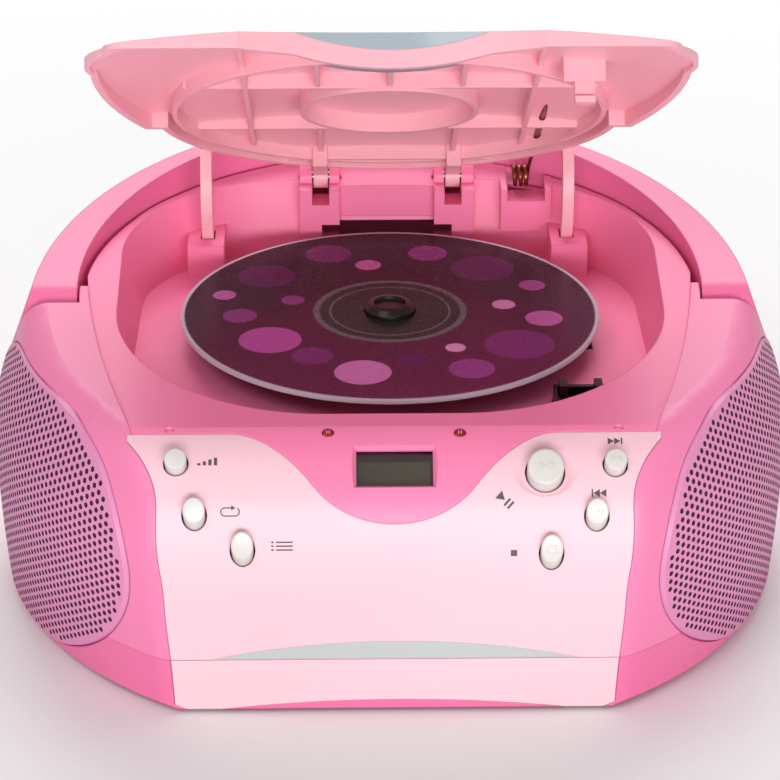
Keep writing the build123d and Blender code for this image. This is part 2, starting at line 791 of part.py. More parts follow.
def make_lid():
    """Open lid: crowned shell, stiffening rings and ribs, arms, latch tongue, hinge fingers."""
    plan = extrude(lid_outline(), amount=40)
    plan_in = Pos(0, 0, -12) * extrude(lid_outline(lid_wall), amount=40)
    rim = block((-90, 90), (-160, 5), (lid_rim_w, 40))
    shell = (plan & dome() & rim) - (plan_in & dome(lid_wall))
    skirt_plan = Pos(0, 0, -12) * (extrude(lid_outline(), amount=20) - extrude(lid_outline(lid_wall), amount=20))
    shell += skirt_plan & front_trough(lid_dip_half, lid_dip, lid_rim_w)
    ring = lid_ring(25.4, 3.0) + lid_ring(61.5, 2.0)
    ring &= plan_in & dome(lid_wall / 2)
    shell += ring
    shell += lid_ribs() & Pos(0, 0, -12) * extrude(lid_outline(lid_wall / 2), amount=40) & dome(lid_wall / 2)
    shell += both_sides(lid_finger())
    shell += both_sides(lid_arm())
    shell += lid_tongue()
    bore = rod((10, 0, 0), (30, 0, 0), 1.55)
    shell -= both_sides(bore)
    shell -= rod(*spring_line(), spring_wire + 0.4)
    shell -= scoop()
    shell -= arm_rack()
    return lid_frame() * shell


def lid_ring(radius, low):
    hoop = Cylinder(radius, 20, align=UP) - Cylinder(radius - rib, 20, align=UP)
    return Pos(0, -lid_ring_u, low) * hoop


def lid_ribs():
    """Straight ribs of the underside, each a thin upright wall."""
    low = 4.0
    ribs = block((-62, 62), (-14.7, -13.3), (2.0, 20))
    for y in (-lid_ring_u - 24.0, -lid_ring_u + 24.0):
        ribs += block((-57, 57), (y - rib / 2, y + rib / 2), (low, 20))
    for x in (-40.0, 40.0):
        ribs += block((x - rib / 2, x + rib / 2), (-148, -14), (low, 20))
    for x in (-20.0, 20.0):
        ribs += block((x - rib / 2, x + rib / 2), (-148, -96), (low, 20))
        ribs += block((x - rib / 2, x + rib / 2), (-46, -10), (low, 20))
    ribs += block((-rib / 2, rib / 2), (-148, -lid_ring_u - 24), (low, 20))
    hub = Pos(0, -lid_ring_u, 0) * Cylinder(24.2, 30, align=UP)
    return ribs - hub


def lid_finger():
    """Knuckle of one hinge, reaching back from the lid to the pin."""
    inner = finger_x - finger_w / 2
    outer = finger_x + finger_w / 2
    knuckle = rod((inner, 0, 0), (outer, 0, 0), 3.6)
    neck = block((inner, outer), (-16, 0), (-0.5, 3.6))
    web = block((inner, outer), (-16, -9), (2.0, lid_crown - 4.5))
    return knuckle + neck + web


def lid_arm():
    """Curved arm that guides the lid, an arc about the hinge axis."""
    outer = arm_r + arm_depth / 2
    inner = arm_r - arm_depth / 2
    hoop = Cylinder(outer, arm_w) - Cylinder(inner, arm_w)
    hoop = Pos(arm_x, 0, 0) * Rotation(0, 90, 0) * hoop
    sector = wedge(arm_tip, lid_open + 24.0)
    root = block((arm_x - arm_w / 2, arm_x + arm_w / 2), (-30, -14), (3.0, lid_crown - 5.0))
    gusset_top = block((arm_x - arm_w / 2 - 5.0, arm_x - arm_w / 2), (-26.0, -24.6), (2.0, lid_crown - 5.0))
    return (hoop & sector) + root + gusset_top


def arm_rack():
    """Fine teeth in the outer edge of the left arm."""
    first, last = rack_angles
    teeth = Part()
    for k in range(rack_teeth):
        angle = first + (last - first) * k / (rack_teeth - 1) - lid_open
        y, z = -(arm_r + arm_depth / 2) * cosine(angle), (arm_r + arm_depth / 2) * sine(angle)
        tooth = Rotation(angle, 0, 0) * Box(2 * arm_w, 0.7, 0.35)
        teeth += Pos(-arm_x, y, z) * tooth
    return teeth


def wedge(start, end):
    """Sector about the hinge axis, in the open lid's own frame, degrees above level."""
    points = [(0.0, 0.0)]
    steps = 4
    for k in range(steps + 1):
        angle = start + (end - start) * k / steps - lid_open
        points.append((-60 * cosine(angle), 60 * sine(angle)))
    with BuildSketch(Plane.YZ) as outline:
        with BuildLine():
            Polyline(*points, close=True)
        make_face()
    return extrude(outline.sketch, amount=huge / 2, both=True)


def lid_tongue():
    """Latch tongue on its stiffened plate, near the right front corner."""
    plate = block((latch_x - 5.6, latch_x + 5.6), (-121.0, -118.6), (-1.0, lid_crown - 4.0))
    tongue = block((latch_x - 2.7, latch_x + 2.7), (-121.0, -118.6), (-7.0, 0.0))
    hook = block((latch_x - 2.7, latch_x + 2.7), (-122.2, -121.0), (-7.0, -5.2))
    return plate + tongue + hook


def make_lid_trim():
    """Lens-shaped plate that fills the scoop in the lid's front edge."""
    plan = extrude(lid_outline(), amount=40)
    return lid_frame() * (scoop() & plan & dome())


def make_front_panel():
    panel = PANEL & block((-80, 80), (-110, -60), (seam_z, 80))
    panel -= apron_prism()
    for name, x, z, radius, proud in keys:
        panel -= key_axis(x, z, radius + key_gap, -12.0, 12.0)
        if name == "play_key":
            panel -= play_dish(x, z)
    return panel - front_trim_body(0.0)


def play_dish(x, z):
    """Shallow dished ring round the largest key."""
    ny, nz = face_normal(z)
    plane = Plane(origin=(x, face_y(z), z), x_dir=(1, 0, 0), z_dir=(0, ny, nz))
    floor_r = play_dish_r - 2 * play_dish_depth
    dish = Cone(floor_r, play_dish_r + 2 * play_dish_depth, 2 * play_dish_depth)
    return plane * dish


def key_axis(x, z, radius, inner, outer):
    """Cylinder along the common key direction through a point of the face."""
    direction = Vector(0, -cosine(key_tilt), sine(key_tilt))
    foot = Vector(x, face_y(z), z)
    start = foot + direction * inner
    end = foot + direction * outer
    return rod(tuple(start), tuple(end), radius)


def key_reach(x, z):
    """How far the face point of a key lies along the press direction."""
    return -face_y(z) * cosine(key_tilt) + z * sine(key_tilt)


def board_plane():
    """Plane of the key board, square to the press direction."""
    along = Vector(0, -cosine(key_tilt), sine(key_tilt))
    return Plane(origin=tuple(along * key_board_reach), x_dir=(1, 0, 0), z_dir=tuple(along))


def make_key_board():
    """Tilted board behind the front panel with one switch under each key."""
    plane = board_plane()
    board = plane * (Pos(0, -40.0, -1.6) * Box(122, 33, 1.6, align=UP))
    for name, x, z, radius, proud in keys:
        height = face_y(z) * sine(key_tilt) + z * cosine(key_tilt)
        board += plane * (Pos(x, height, 0) * Box(5.5, 5.5, switch_height, align=UP))
    return board


def make_key(x, z, radius, proud):
    """One key: its stem follows the press direction, its cap is cut along the face."""
    depth = key_reach(x, z) - key_stem_end
    stem = key_axis(x, z, radius, -9.0, 20.0) + key_axis(x, z, 1.6, -depth, -9.0)
    ny, nz = face_normal(z)
    cap = Plane(
        origin=(x, face_y(z) + ny * proud, z + nz * proud),
        x_dir=(1, 0, 0),
        z_dir=(0, ny, nz),
    )
    limit = cap * Box(60, 60, 60, align=DOWN)
    flange = key_axis(x, z, radius + 0.9, -9.0, -7.4)
    return (stem & limit) + flange


def front_trim_body(shrink):
    """Lens-shaped strip along the foot of the panel."""
    half = 48.5 - shrink
    low = seam_z + 0.2
    high = 22.4 - shrink
    radius = (half ** 2 + (high - low) ** 2) / (2 * (high - low))
    cap = Plane.XZ * Pos(0, high - radius) * Circle(radius)
    lens = extrude(cap, amount=huge / 2, both=True) & block((-half, half), (-110, -90), (low, 30))
    return lens & (FRONT - front_prism(1.2))


def chin_plate(high):
    """Foot of the front panel up to a height, with the shallow arch in its lower edge."""
    arch_r = (chin_arch_half ** 2 + chin_arch_rise ** 2) / (2 * chin_arch_rise)
    arch = Plane.XZ * Pos(0, base_z + chin_arch_rise - arch_r) * Circle(arch_r)
    plate = PANEL & block((-80, 80), (-110, -60), (0, high))
    return plate - extrude(arch, amount=huge / 2, both=True)


def make_lower_front():
    return chin_plate(seam_z - 0.15)


def make_display_window():
    height = math.hypot(face_y(display_high_z) - face_y(display_low_z), display_high_z - display_low_z)
    return display_frame(window_depth) * extrude(Rectangle(2 * display_half + 3, height + 3), amount=0.9)


def make_display_module():
    height = math.hypot(face_y(display_high_z) - face_y(display_low_z), display_high_z - display_low_z)
    return display_frame(window_depth + 3.6) * extrude(Rectangle(2 * display_half + 5, height + 4), amount=3.3)


def make_indicators():
    dome_led = rod((17.2, -92, 72.2), (17.2, -83.2, 78.65), 1.45)
    return both_sides(dome_led & FRONT)


def speaker_plane(reach):
    """Plane facing out through the middle of the right grille."""
    out = Vector(sine(speaker_az), -cosine(speaker_az), 0)
    origin = Vector(0, barrel_y, grille_z) + out * reach
    return Plane(origin=tuple(origin), x_dir=(0, 0, 1), z_dir=tuple(out))


def make_speaker():
    """Basket, magnet and mounting flange of one loudspeaker."""
    with BuildSketch(Plane.XZ) as profile:
        with BuildLine():
            Polyline(
                (26.0, 0), (speaker_r, 0), (speaker_r, -2.0), (27.5, -2.0), (15.0, -14.0), (15.0, -16.0),
                (19.0, -16.0), (19.0, -25.0), (5.0, -25.0), (5.0, -13.0), (12.0, -13.0), (26.0, -1.5),
                close=True)
        make_face()
    return speaker_plane(speaker_reach) * revolve(profile.sketch, Axis.Z)


def make_cone():
    """Paper cone with its rolled surround and dust cap."""
    with BuildSketch(Plane.XZ) as profile:
        with BuildLine():
            Polyline((0, -6.0), (7.0, -7.5), (21.0, -0.6), (22.5, 1.0), (cone_r, 0.8), (cone_r, 0.0),
                     (22.8, 0.0), (21.6, -1.6), (7.4, -9.0), (0, -7.5), close=True)
        make_face()
    return speaker_plane(speaker_reach) * revolve(profile.sketch, Axis.Z)


def make_turntable():
    low = disc_top_z - disc_thickness
    plate = Pos(0, disc_y, low - 3.0) * Cylinder(14.5, 3.0, align=UP)
    return plate + rod((0, disc_y, 48.0), (0, disc_y, low), 1.5)


def make_hub():
    low = disc_top_z - disc_thickness
    with BuildSketch(Plane.XZ) as profile:
        with BuildLine():
            Polyline((0, low), (7.2, low), (7.2, low + 2.2), (6.2, low + 3.6), (4.6, low + 3.9),
                     (4.2, low + 2.9), (0, low + 2.9), close=True)
        make_face()
    return Pos(0, disc_y, 0) * revolve(profile.sketch, Axis.Z)


def make_disc():
    low = disc_top_z - disc_thickness
    disc = Cylinder(disc_r, disc_thickness, align=UP) - Cylinder(disc_hole_r, disc_thickness, align=UP)
    return Pos(0, disc_y, low) * disc


def make_mechanism():
    """Plate under the well that carries motor, rails and sled."""
    plate = block((-22, 62), (disc_y - 24, disc_y + 24), (58.5, 60.0))
    plate -= block((12, 56), (disc_y - 9, disc_y + 9), (58, 61))
    plate -= Pos(0, disc_y, 58) * Cylinder(3.0, 3, align=UP)
    for x, y in ((-18, -20), (-18, 20), (58, -20), (58, 20)):
        plate += rod((x, disc_y + y, 60.0), (x, disc_y + y, floor_z - floor_t), 2.6)
    return plate


def make_rails():
    rails = rod((13, disc_y - 7.0, 61.8), (57, disc_y - 7.0, 61.8), 1.0)
    rails += rod((13, disc_y + 7.0, 61.8), (57, disc_y + 7.0, 61.8), 1.0)
    for x in (14.0, 56.0):
        for y in (-7.0, 7.0):
            rails += block((x - 1, x + 1), (disc_y + y - 1.6, disc_y + y + 1.6), (60.0, 63.2))
    return rails


def make_sled():
    """Pickup carriage with its lens turret."""
    sled = block((22, 38), (disc_y - 8.8, disc_y + 8.8), (60.4, 63.4))
    for y in (-7.0, 7.0):
        sled -= rod((20, disc_y + y, 61.8), (40, disc_y + y, 61.8), 1.06)
    sled += rod((30, disc_y, 63.4), (30, disc_y, 66.6), 5.0)
    sled += rod((30, disc_y, 66.6), (30, disc_y, 67.2), 2.4)
    return sled


def make_spindle_motor():
    can = rod((0, disc_y, 46.5), (0, disc_y, 58.5), 11.0)
    return can - rod((0, disc_y, 47.5), (0, disc_y, 58.5), 1.55)


def make_latch_housing():
    body = block((latch_x - latch_w / 2, latch_x + latch_w / 2), (disc_y - 52.0, disc_y - 42.0), (57.0, 71.0))
    inner = latch_w / 2 - 1.0
    return body - block((latch_x - inner, latch_x + inner), (disc_y - 50.4, disc_y - 43.6), (59.5, 72.0))


def make_latch_claws():
    """Push-push catch with two upright claws."""
    half = latch_w / 2 - 1.35
    deep = (disc_y - 50.1, disc_y - 43.9)
    stem = block((latch_x - half, latch_x + half), deep, (64.0, 69.0))
    for side in (-1, 1):
        middle = latch_x + side * (half - 1.1)
        stem += block((middle - 1.1, middle + 1.1), (disc_y - 49.6, disc_y - 44.6), (69.0, 74.0))
    return stem


def coil_point(turn):
    """Point and direction of the spring's coil after so many turns round the hinge axis."""
    angle = 360.0 * turn
    point = Vector(spring_x - spring_pitch * turn, spring_coil_r * sine(angle), spring_coil_r * cosine(angle))
    run = 2 * math.pi * spring_coil_r
    along = Vector(-spring_pitch, run * cosine(angle), -run * sine(angle))
    return point, along.normalized()


def biarc(start, start_dir, end, end_dir):
    """Joint and its direction for the two arcs that run smoothly from start to end."""
    chord = end - start
    both = start_dir + end_dir
    bend = 2 * (1 - start_dir.dot(end_dir))
    reach = (math.sqrt(chord.dot(both) ** 2 + bend * chord.dot(chord)) - chord.dot(both)) / bend
    before, after = start + start_dir * reach, end - end_dir * reach
    return (before + after) * 0.5, (after - before).normalized()


def spring_line():
    """Straight leg of the spring, from its far end to where it meets the coil."""
    return spring_leg, tuple(coil_point(0.0)[0])


def spring_gap():
    """Least clear distance between stretches of the wire over half a turn apart."""
    steps = 24
    coil = [coil_point(k / steps)[0] for k in range(steps * spring_turns + 1)]
    far = Vector(*spring_leg)
    leg = [coil[0] + (far - coil[0]) * (k / 40) for k in range(40, 3, -1)]
    wire = leg + coil
    apart = steps // 2
    gaps = [(wire[a] - wire[b]).length for a in range(len(wire)) for b in range(a + apart, len(wire))]
    return min(gaps) - 2 * spring_wire


def make_lid_spring():
    """Torsion spring: one long leg under the lid, then turns about the hinge axis."""
    leg_start, leg_end = spring_line()
    direction = (Vector(*leg_end) - Vector(*leg_start)).normalized()
    with BuildLine() as path:
        Line(leg_start, leg_end)
        start, start_dir = Vector(*leg_end), direction
        for quarter in range(1, 4 * spring_turns + 1):
            end, end_dir = coil_point(quarter / 4)
            middle, middle_dir = biarc(start, start_dir, end, end_dir)
            TangentArc(tuple(start), tuple(middle), tangent=tuple(start_dir))
            TangentArc(tuple(middle), tuple(end), tangent=tuple(middle_dir))
            start, start_dir = end, end_dir
    section = Plane(origin=leg_start, z_dir=direction) * RegularPolygon(spring_wire, spring_sides)
    return lid_frame() * sweep(section, path=path.line)


def make_rear_panel():
    """Flat service panel sunk in the back, with slots for wheels, switch and sockets."""
    plate = block((-rear_half, rear_half), (rear_flat_y - wall, rear_flat_y), (seam_z, rear_high_z))
    plate &= BARREL
    low, high = wheel_z - wheel_t / 2 - 0.5, wheel_z + wheel_t / 2 + 0.5
    for x in (-wheel_x, wheel_x):
        plate -= block((x - 9.5, x + 9.5), (rear_flat_y - 3, rear_flat_y + 1), (low, high))
    plate -= block((-7.5, 7.5), (rear_flat_y - 3, rear_flat_y + 1), (wheel_z - 1.6, wheel_z + 1.6))
    plate -= rod((jack_x, rear_flat_y - 3, socket_z), (jack_x, rear_flat_y + 1, socket_z), 3.4)
    plate -= block((inlet_x - 7.7, inlet_x + 7.7), (rear_flat_y - 3, rear_flat_y + 1),
                   (socket_z - 4.6, socket_z + 4.6))
    return plate


def make_thumbwheel(x):
    """Knurled wheel standing out of the service panel, on its spindle."""
    low = wheel_z - wheel_t / 2
    wheel = Pos(x, wheel_y, low) * Cylinder(wheel_r, wheel_t, align=UP)
    notches = 20
    for k in range(notches):
        turn = 360.0 / notches * k
        spot = (x + (wheel_r + 0.5) * cosine(turn), wheel_y + (wheel_r + 0.5) * sine(turn))
        wheel -= Pos(spot[0], spot[1], low) * Cylinder(1.0, wheel_t, align=UP)
    return wheel - Pos(x, wheel_y, low) * Cylinder(2.05, wheel_t, align=UP)


def make_slide_switch():
    """Knob of the band switch, its stem running in the slot of the panel."""
    stem = block((-3.0, 3.0), (rear_flat_y - 5.0, rear_flat_y + 0.3), (wheel_z - 1.3, wheel_z + 1.3))
    cap = block((-4.0, 4.0), (rear_flat_y + 0.3, rear_flat_y + 3.0), (wheel_z - 2.4, wheel_z + 2.4))
    for k in (-2, 0, 2):
        cap -= block((k - 0.4, k + 0.4), (rear_flat_y + 2.4, rear_flat_y + 3.1), (wheel_z - 3, wheel_z + 3))
    return stem + cap


def make_jack():
    """Headphone socket: threaded-style sleeve through the panel and its body behind."""
    sleeve = rod((jack_x, 76, socket_z), (jack_x, rear_flat_y + 0.6, socket_z), 3.3)
    body = block((jack_x - 5, jack_x + 5), (72, rear_flat_y - wall), (socket_z - 5, socket_z + 5))
    return sleeve + body - rod((jack_x, 74, socket_z), (jack_x, rear_flat_y + 1, socket_z), jack_r)


def make_inlet():
    """Two-pin mains inlet."""
    shell = block((inlet_x - 7.6, inlet_x + 7.6), (74, rear_flat_y), (socket_z - 4.5, socket_z + 4.5))
    shell -= block((inlet_x - 6.2, inlet_x + 6.2), (78, rear_flat_y + 1), (socket_z - 3.2, socket_z + 3.2))
    for x in (inlet_x - 3.3, inlet_x + 3.3):
        shell += rod((x, 78, socket_z), (x, 82.5, socket_z), 1.1)
    return shell


def antenna_tube(section):
    """One telescoping section lying along -X, nested in the one before."""
    outer = antenna_radii[section]
    start = antenna_pivot_x - antenna_lug - 2.0 * section
    end = antenna_pivot_x - 4.0 - antenna_length
    tube = rod((start, antenna_y, antenna_z), (end - 1.0 * section, antenna_y, antenna_z), outer)
    if section < len(antenna_bores):
        tube -= rod((start - 1.5, antenna_y, antenna_z), (end - 5, antenna_y, antenna_z), antenna_bores[section])
    return tube


def make_antenna_root():
    """Swivel knuckle and the widest tube of the mast."""
    knuckle = rod((antenna_pivot_x, antenna_y - antenna_half, antenna_z), (antenna_pivot_x, rear_y, antenna_z), 5.0)
    lug = block((antenna_pivot_x - antenna_lug, antenna_pivot_x),
                (antenna_y - antenna_half, rear_y), (antenna_z - 3.4, antenna_z + 3.4))
    return knuckle + lug + antenna_tube(0)


def make_antenna_tip():
    end = antenna_pivot_x - 4.0 - antenna_length - 3.0
    cap = rod((end, antenna_y, antenna_z), (end - 4.0, antenna_y, antenna_z), antenna_radii[0])
    return antenna_tube(3) + cap


def make_hinge_pins():
    pin = rod((14.7, hinge_y, hinge_z), (26.6, hinge_y, hinge_z), 1.5)
    return both_sides(pin)


def make_rear_surround():
    """Walls of the recess between the barrel skin and the sunk panel."""
    outer = block((-rear_half - wall, rear_half + wall), (rear_flat_y - wall, 130), (seam_z, rear_high_z + wall))
    inner = block((-rear_half, rear_half), (rear_flat_y - wall - 1, 131), (seam_z - 1, rear_high_z))
    return (outer - inner) & BARREL


def main():
    os.makedirs("parts", exist_ok=True)
    top_case = make_top_case()
    pieces["top_case"] = top_case
    pod = make_speaker_shell()
    pieces["right_speaker_shell"] = pod
    pieces["left_speaker_shell"] = mirrored(pod)
    grille = make_grille()
    pieces["right_grille"] = grille
    pieces["left_grille"] = mirrored(grille)
    pieces["bottom_case"] = make_bottom_case()
    pieces["rear_case"] = make_rear_case()
    pieces["rear_panel"] = make_rear_panel()
    pieces["front_panel"] = make_front_panel()
    pieces["lower_front_panel"] = make_lower_front()
    pieces["front_trim"] = front_trim_body(0.0)
    pieces["display_window"] = make_display_window()
    pieces["display_module"] = make_display_module()
    pieces["indicator_leds"] = make_indicators()
    pieces["handle"] = make_handle()
    pieces["handle_pivots"] = make_handle_pivots()
    pieces["lid"] = make_lid()
    pieces["lid_trim"] = make_lid_trim()
    pieces["lid_spring"] = make_lid_spring()
    speaker = make_speaker()
    pieces["right_speaker"] = speaker
    pieces["left_speaker"] = mirrored(speaker)
    cone = make_cone()
    pieces["right_speaker_cone"] = cone
    pieces["left_speaker_cone"] = mirrored(cone)
    pieces["turntable"] = make_turntable()
    pieces["spindle_hub"] = make_hub()
    pieces["disc"] = make_disc()
    pieces["mechanism_plate"] = make_mechanism()
    pieces["pickup_rails"] = make_rails()
    pieces["pickup_sled"] = make_sled()
    pieces["spindle_motor"] = make_spindle_motor()
    pieces["latch_housing"] = make_latch_housing()
    pieces["latch_claws"] = make_latch_claws()
    pieces["key_board"] = make_key_board()
    pieces["hinge_pins"] = make_hinge_pins()
    pieces["battery_door"] = make_battery_door()
    pieces["battery_box"] = make_battery_box()
    pieces["battery_contacts"] = make_battery_contacts()
    pieces["main_board"] = make_main_board()
    pieces["transformer"] = make_transformer()
    pieces["feet"] = make_feet()
    pieces["case_screws"] = make_screws()
    pieces["volume_wheel"] = make_thumbwheel(-wheel_x)
    pieces["tuning_wheel"] = make_thumbwheel(wheel_x)
    pieces["band_switch_knob"] = make_slide_switch()
    pieces["headphone_jack"] = make_jack()
    pieces["mains_inlet"] = make_inlet()
    pieces["antenna_root"] = make_antenna_root()
    pieces["antenna_section_2"] = antenna_tube(1)
    pieces["antenna_section_3"] = antenna_tube(2)
    pieces["antenna_tip"] = make_antenna_tip()
    for name, x, z, radius, proud in keys:
        pieces[name] = make_key(x, z, radius, proud)
    for name, shape in pieces.items():
        export_step(shape, f"parts/{name}.step")


main()
print(f"least gap of the spring wire to itself {spring_gap():.2f} mm")
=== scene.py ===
import json
import math

import bmesh
import bpy
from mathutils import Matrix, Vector
from mathutils.bvhtree import BVHTree

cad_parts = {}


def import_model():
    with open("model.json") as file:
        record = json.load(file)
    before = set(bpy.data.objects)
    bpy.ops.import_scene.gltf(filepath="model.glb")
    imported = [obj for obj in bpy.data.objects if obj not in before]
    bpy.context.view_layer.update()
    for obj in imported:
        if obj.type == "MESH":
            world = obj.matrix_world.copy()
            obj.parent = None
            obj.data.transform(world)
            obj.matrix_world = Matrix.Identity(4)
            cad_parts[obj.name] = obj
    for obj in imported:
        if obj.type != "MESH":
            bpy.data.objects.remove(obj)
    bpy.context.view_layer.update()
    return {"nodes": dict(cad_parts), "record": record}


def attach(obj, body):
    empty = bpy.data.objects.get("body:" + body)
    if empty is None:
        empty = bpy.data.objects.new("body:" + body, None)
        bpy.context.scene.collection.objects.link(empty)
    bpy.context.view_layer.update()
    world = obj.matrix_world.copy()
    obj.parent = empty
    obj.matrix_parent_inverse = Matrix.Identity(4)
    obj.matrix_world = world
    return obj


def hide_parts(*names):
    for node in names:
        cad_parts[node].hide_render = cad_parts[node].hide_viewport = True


MM = 0.001

# Camera of the photograph: its place in metres, its turns in degrees, its lens and sensor in millimetres.
CAMERA_AT = Vector((-0.0107, -0.7402, 0.3961))
CAMERA_DOWN = 25.3
CAMERA_TURN = 0.84
CAMERA_LENS = 128.2
CAMERA_SENSOR = 36.0
CAMERA_NEAR = 0.05
PHOTO_SIZE = 780
PHOTO_FOCAL = CAMERA_LENS / CAMERA_SENSOR * PHOTO_SIZE

# Lights: name, place and size in metres, power in watts.
LIGHTS = (
    ("key_light", (-0.7, -0.9, 1.3), (0.9, 0.7), 5.0),
    ("front_light", (0.15, -1.5, 0.14), (1.2, 0.5), 19.0),
    ("rear_light", (0.1, 1.6, 1.9), (2.0, 1.0), 38.0),
)
LIGHT_AIM = (0.0, 0.0, 0.07)
SKY_COLOUR = (1.0, 0.99, 0.99, 1.0)
SKY_STRENGTH = 0.36

# Floor: half its side in metres, and its linear colour to the light and to the camera.
FLOOR_HALF = 3.0
FLOOR_LIT = (0.72, 0.72, 0.73, 1.0)
FLOOR_SEEN = (0.98, 0.98, 0.98, 1.0)

# The barrel that the speaker grilles follow, in millimetres, with its shoulder's slope in radians.
BARREL_Y = -10.5
BELLY_R = 113.5
BELLY_Z = 44.0
LOWER_ARC = 440.0
UPPER_ARC = 56.0
SHOULDER_ANGLE = math.radians(20.5)

# Perforated sheet of the grilles: its outline in side view and its holes, in millimetres.
GRILLE_PROUD = 0.6
GRILLE_Y = -50.5
GRILLE_Z = 39.5
GRILLE_LENGTH = 98.0
GRILLE_HEIGHT = 72.0
GRILLE_CORNER = 35.5
HOLE_PITCH = 2.4
HOLE_R = 0.74
HOLE_SIDES = 12
HOLE_MARGIN = 1.0
SHEET_T = 0.5
SKIRT_DEEP = 1.9

# The holes are laid out along the belly's arc from here, over this length, in millimetres.
LAYOUT_START = -15.0
LAYOUT_LENGTH = 150.0
SPARE_ROWS = 4
# Corners that neighbouring cells share are matched on a grid of this many steps per millimetre.
CORNER_GRID = 200
# Rounds, and step in millimetres, of the search for the outline's nearest point.
SNAP_ROUNDS = 3
SNAP_STEP = 0.01

KEYS = ("bass_key", "repeat_key", "program_key", "play_key", "next_key", "back_key", "stop_key")

# Symbols on the keys: name, size against the 6 mm outline.
KEY_SYMBOLS = {
    "play_key": ("play", 0.75),
    "next_key": ("next", 0.62),
    "back_key": ("back", 0.62),
    "stop_key": ("stop", 0.9),
}
KEY_SYMBOL_LIFT = 0.12
KEY_SYMBOL_DEEP = 0.1

# Crowns of the keys: heights in millimetres, then the shares of the outline and of the height
# that the rounded edge takes.
KEY_CROWN = 0.6
PLAY_CROWN = 0.9
CROWN_EDGE_WIDTH = 0.22
CROWN_EDGE_HEIGHT = 0.7
CROWN_SIDES = 40

# Printed symbols: name, place in the photograph in pixels, size against the 6 mm outline,
# turn in degrees.
PANEL_SYMBOLS = (
    ("bars", (207, 462), 0.85, 0.0),
    ("loop", (230, 512), 0.95, 0.0),
    ("list", (282, 546), 1.0, 0.0),
    ("next", (615, 441), 0.8, 0.0),
    ("back", (599, 493), 0.8, 0.0),
    ("stop", (514, 553), 0.7, 0.0),
    ("play", (505, 500), 0.85, -42.0),
)
# How far printed ink stands out of its surface and reaches into it, in millimetres,
# and how far out the search for that surface starts.
INK_LIFT = 0.03
INK_DEEP = 0.05
INK_SEARCH = 2.0

# Indicator lamps: their places in the photograph in pixels.
INDICATORS = ((328, 433), (460, 433))
# Plate under each lamp: half its width, its first row and the step of its rows, in pixels of the
# photograph, and the heights of its top and of its skirt's lower edge in millimetres.
PLATE_HALF = 10
PLATE_START = -7.5
PLATE_STEP = 3.6
PLATE_ROWS = 13
PLATE_HEIGHTS = (0.03, -0.5)
# Lens: half sizes in millimetres, and its rings as shares of them with heights in millimetres.
LENS_ACROSS = 1.7
LENS_UP = 1.35
LENS_SIDES = 24
LENS_PROFILE = ((1.0, -0.3), (1.0, 0.06), (0.9, 0.22), (0.65, 0.38), (0.3, 0.46), (0.03, 0.48))

# Display glass, in metres: half its width, and where its dark bands of painted recess shade along the top
# and sides start and are full.
DISPLAY_HALF = 0.010
DISPLAY_TOP_PAINTED_SHADE = (0.0673, 0.0679)
DISPLAY_SIDE_PAINTED_SHADE = (0.0092, 0.0097)

# Disc print, in metres: the disc's middle, then pairs of radii between which a zone comes in.
DISC_MIDDLE = (0.0, -0.0075, 0.0)
DISC_RIM = (0.0588, 0.0592)
HUB_GREY = (0.0222, 0.0219)
HUB_DARK = (0.0206, 0.0200)
HUB_RING_INNER = (0.0168, 0.0170)
HUB_RING_OUTER = (0.0176, 0.0174)
# Dots of the print: place from the disc's middle and radius in millimetres, colour, strength.
DOT_EDGE = 0.25
DISC_DOTS = (
    (-34, -20, 9.0, (186, 82, 168), 0.9),
    (-22, -31, 6.0, (122, 42, 112), 0.9),
    (-43, -3, 5.0, (146, 58, 138), 0.8),
    (-8, -42, 8.0, (216, 126, 192), 0.9),
    (6, -34, 4.5, (92, 26, 88), 0.9),
    (22, -40, 6.5, (158, 66, 146), 0.85),
    (36, -24, 10.0, (128, 44, 118), 0.85),
    (44, -6, 5.5, (196, 100, 176), 0.9),
    (33, 4, 3.5, (226, 150, 204), 0.9),
    (28, 31, 9.5, (96, 28, 90), 0.9),
    (12, 43, 6.0, (150, 60, 140), 0.85),
    (-6, 34, 4.0, (206, 112, 184), 0.9),
    (-18, 43, 7.0, (118, 40, 108), 0.85),
    (-36, 26, 8.5, (88, 24, 84), 0.9),
    (-48, 12, 3.5, (196, 104, 178), 0.85),
    (42, 18, 4.0, (176, 80, 160), 0.85),
    (-28, 8, 3.5, (160, 70, 150), 0.7),
    (18, -26, 3.0, (232, 160, 210), 0.9),
)


def linear(red, green, blue):
    """An 8-bit display colour as the linear colour that shaders take."""
    def one(value):
        value /= 255.0
        return value / 12.92 if value <= 0.04045 else ((value + 0.055) / 1.055) ** 2.4
    return (one(red), one(green), one(blue), 1.0)


def shifted(colour, factor):
    """A linear colour made lighter or darker."""
    return tuple(min(1.0, part * factor) for part in colour[:3]) + (1.0,)


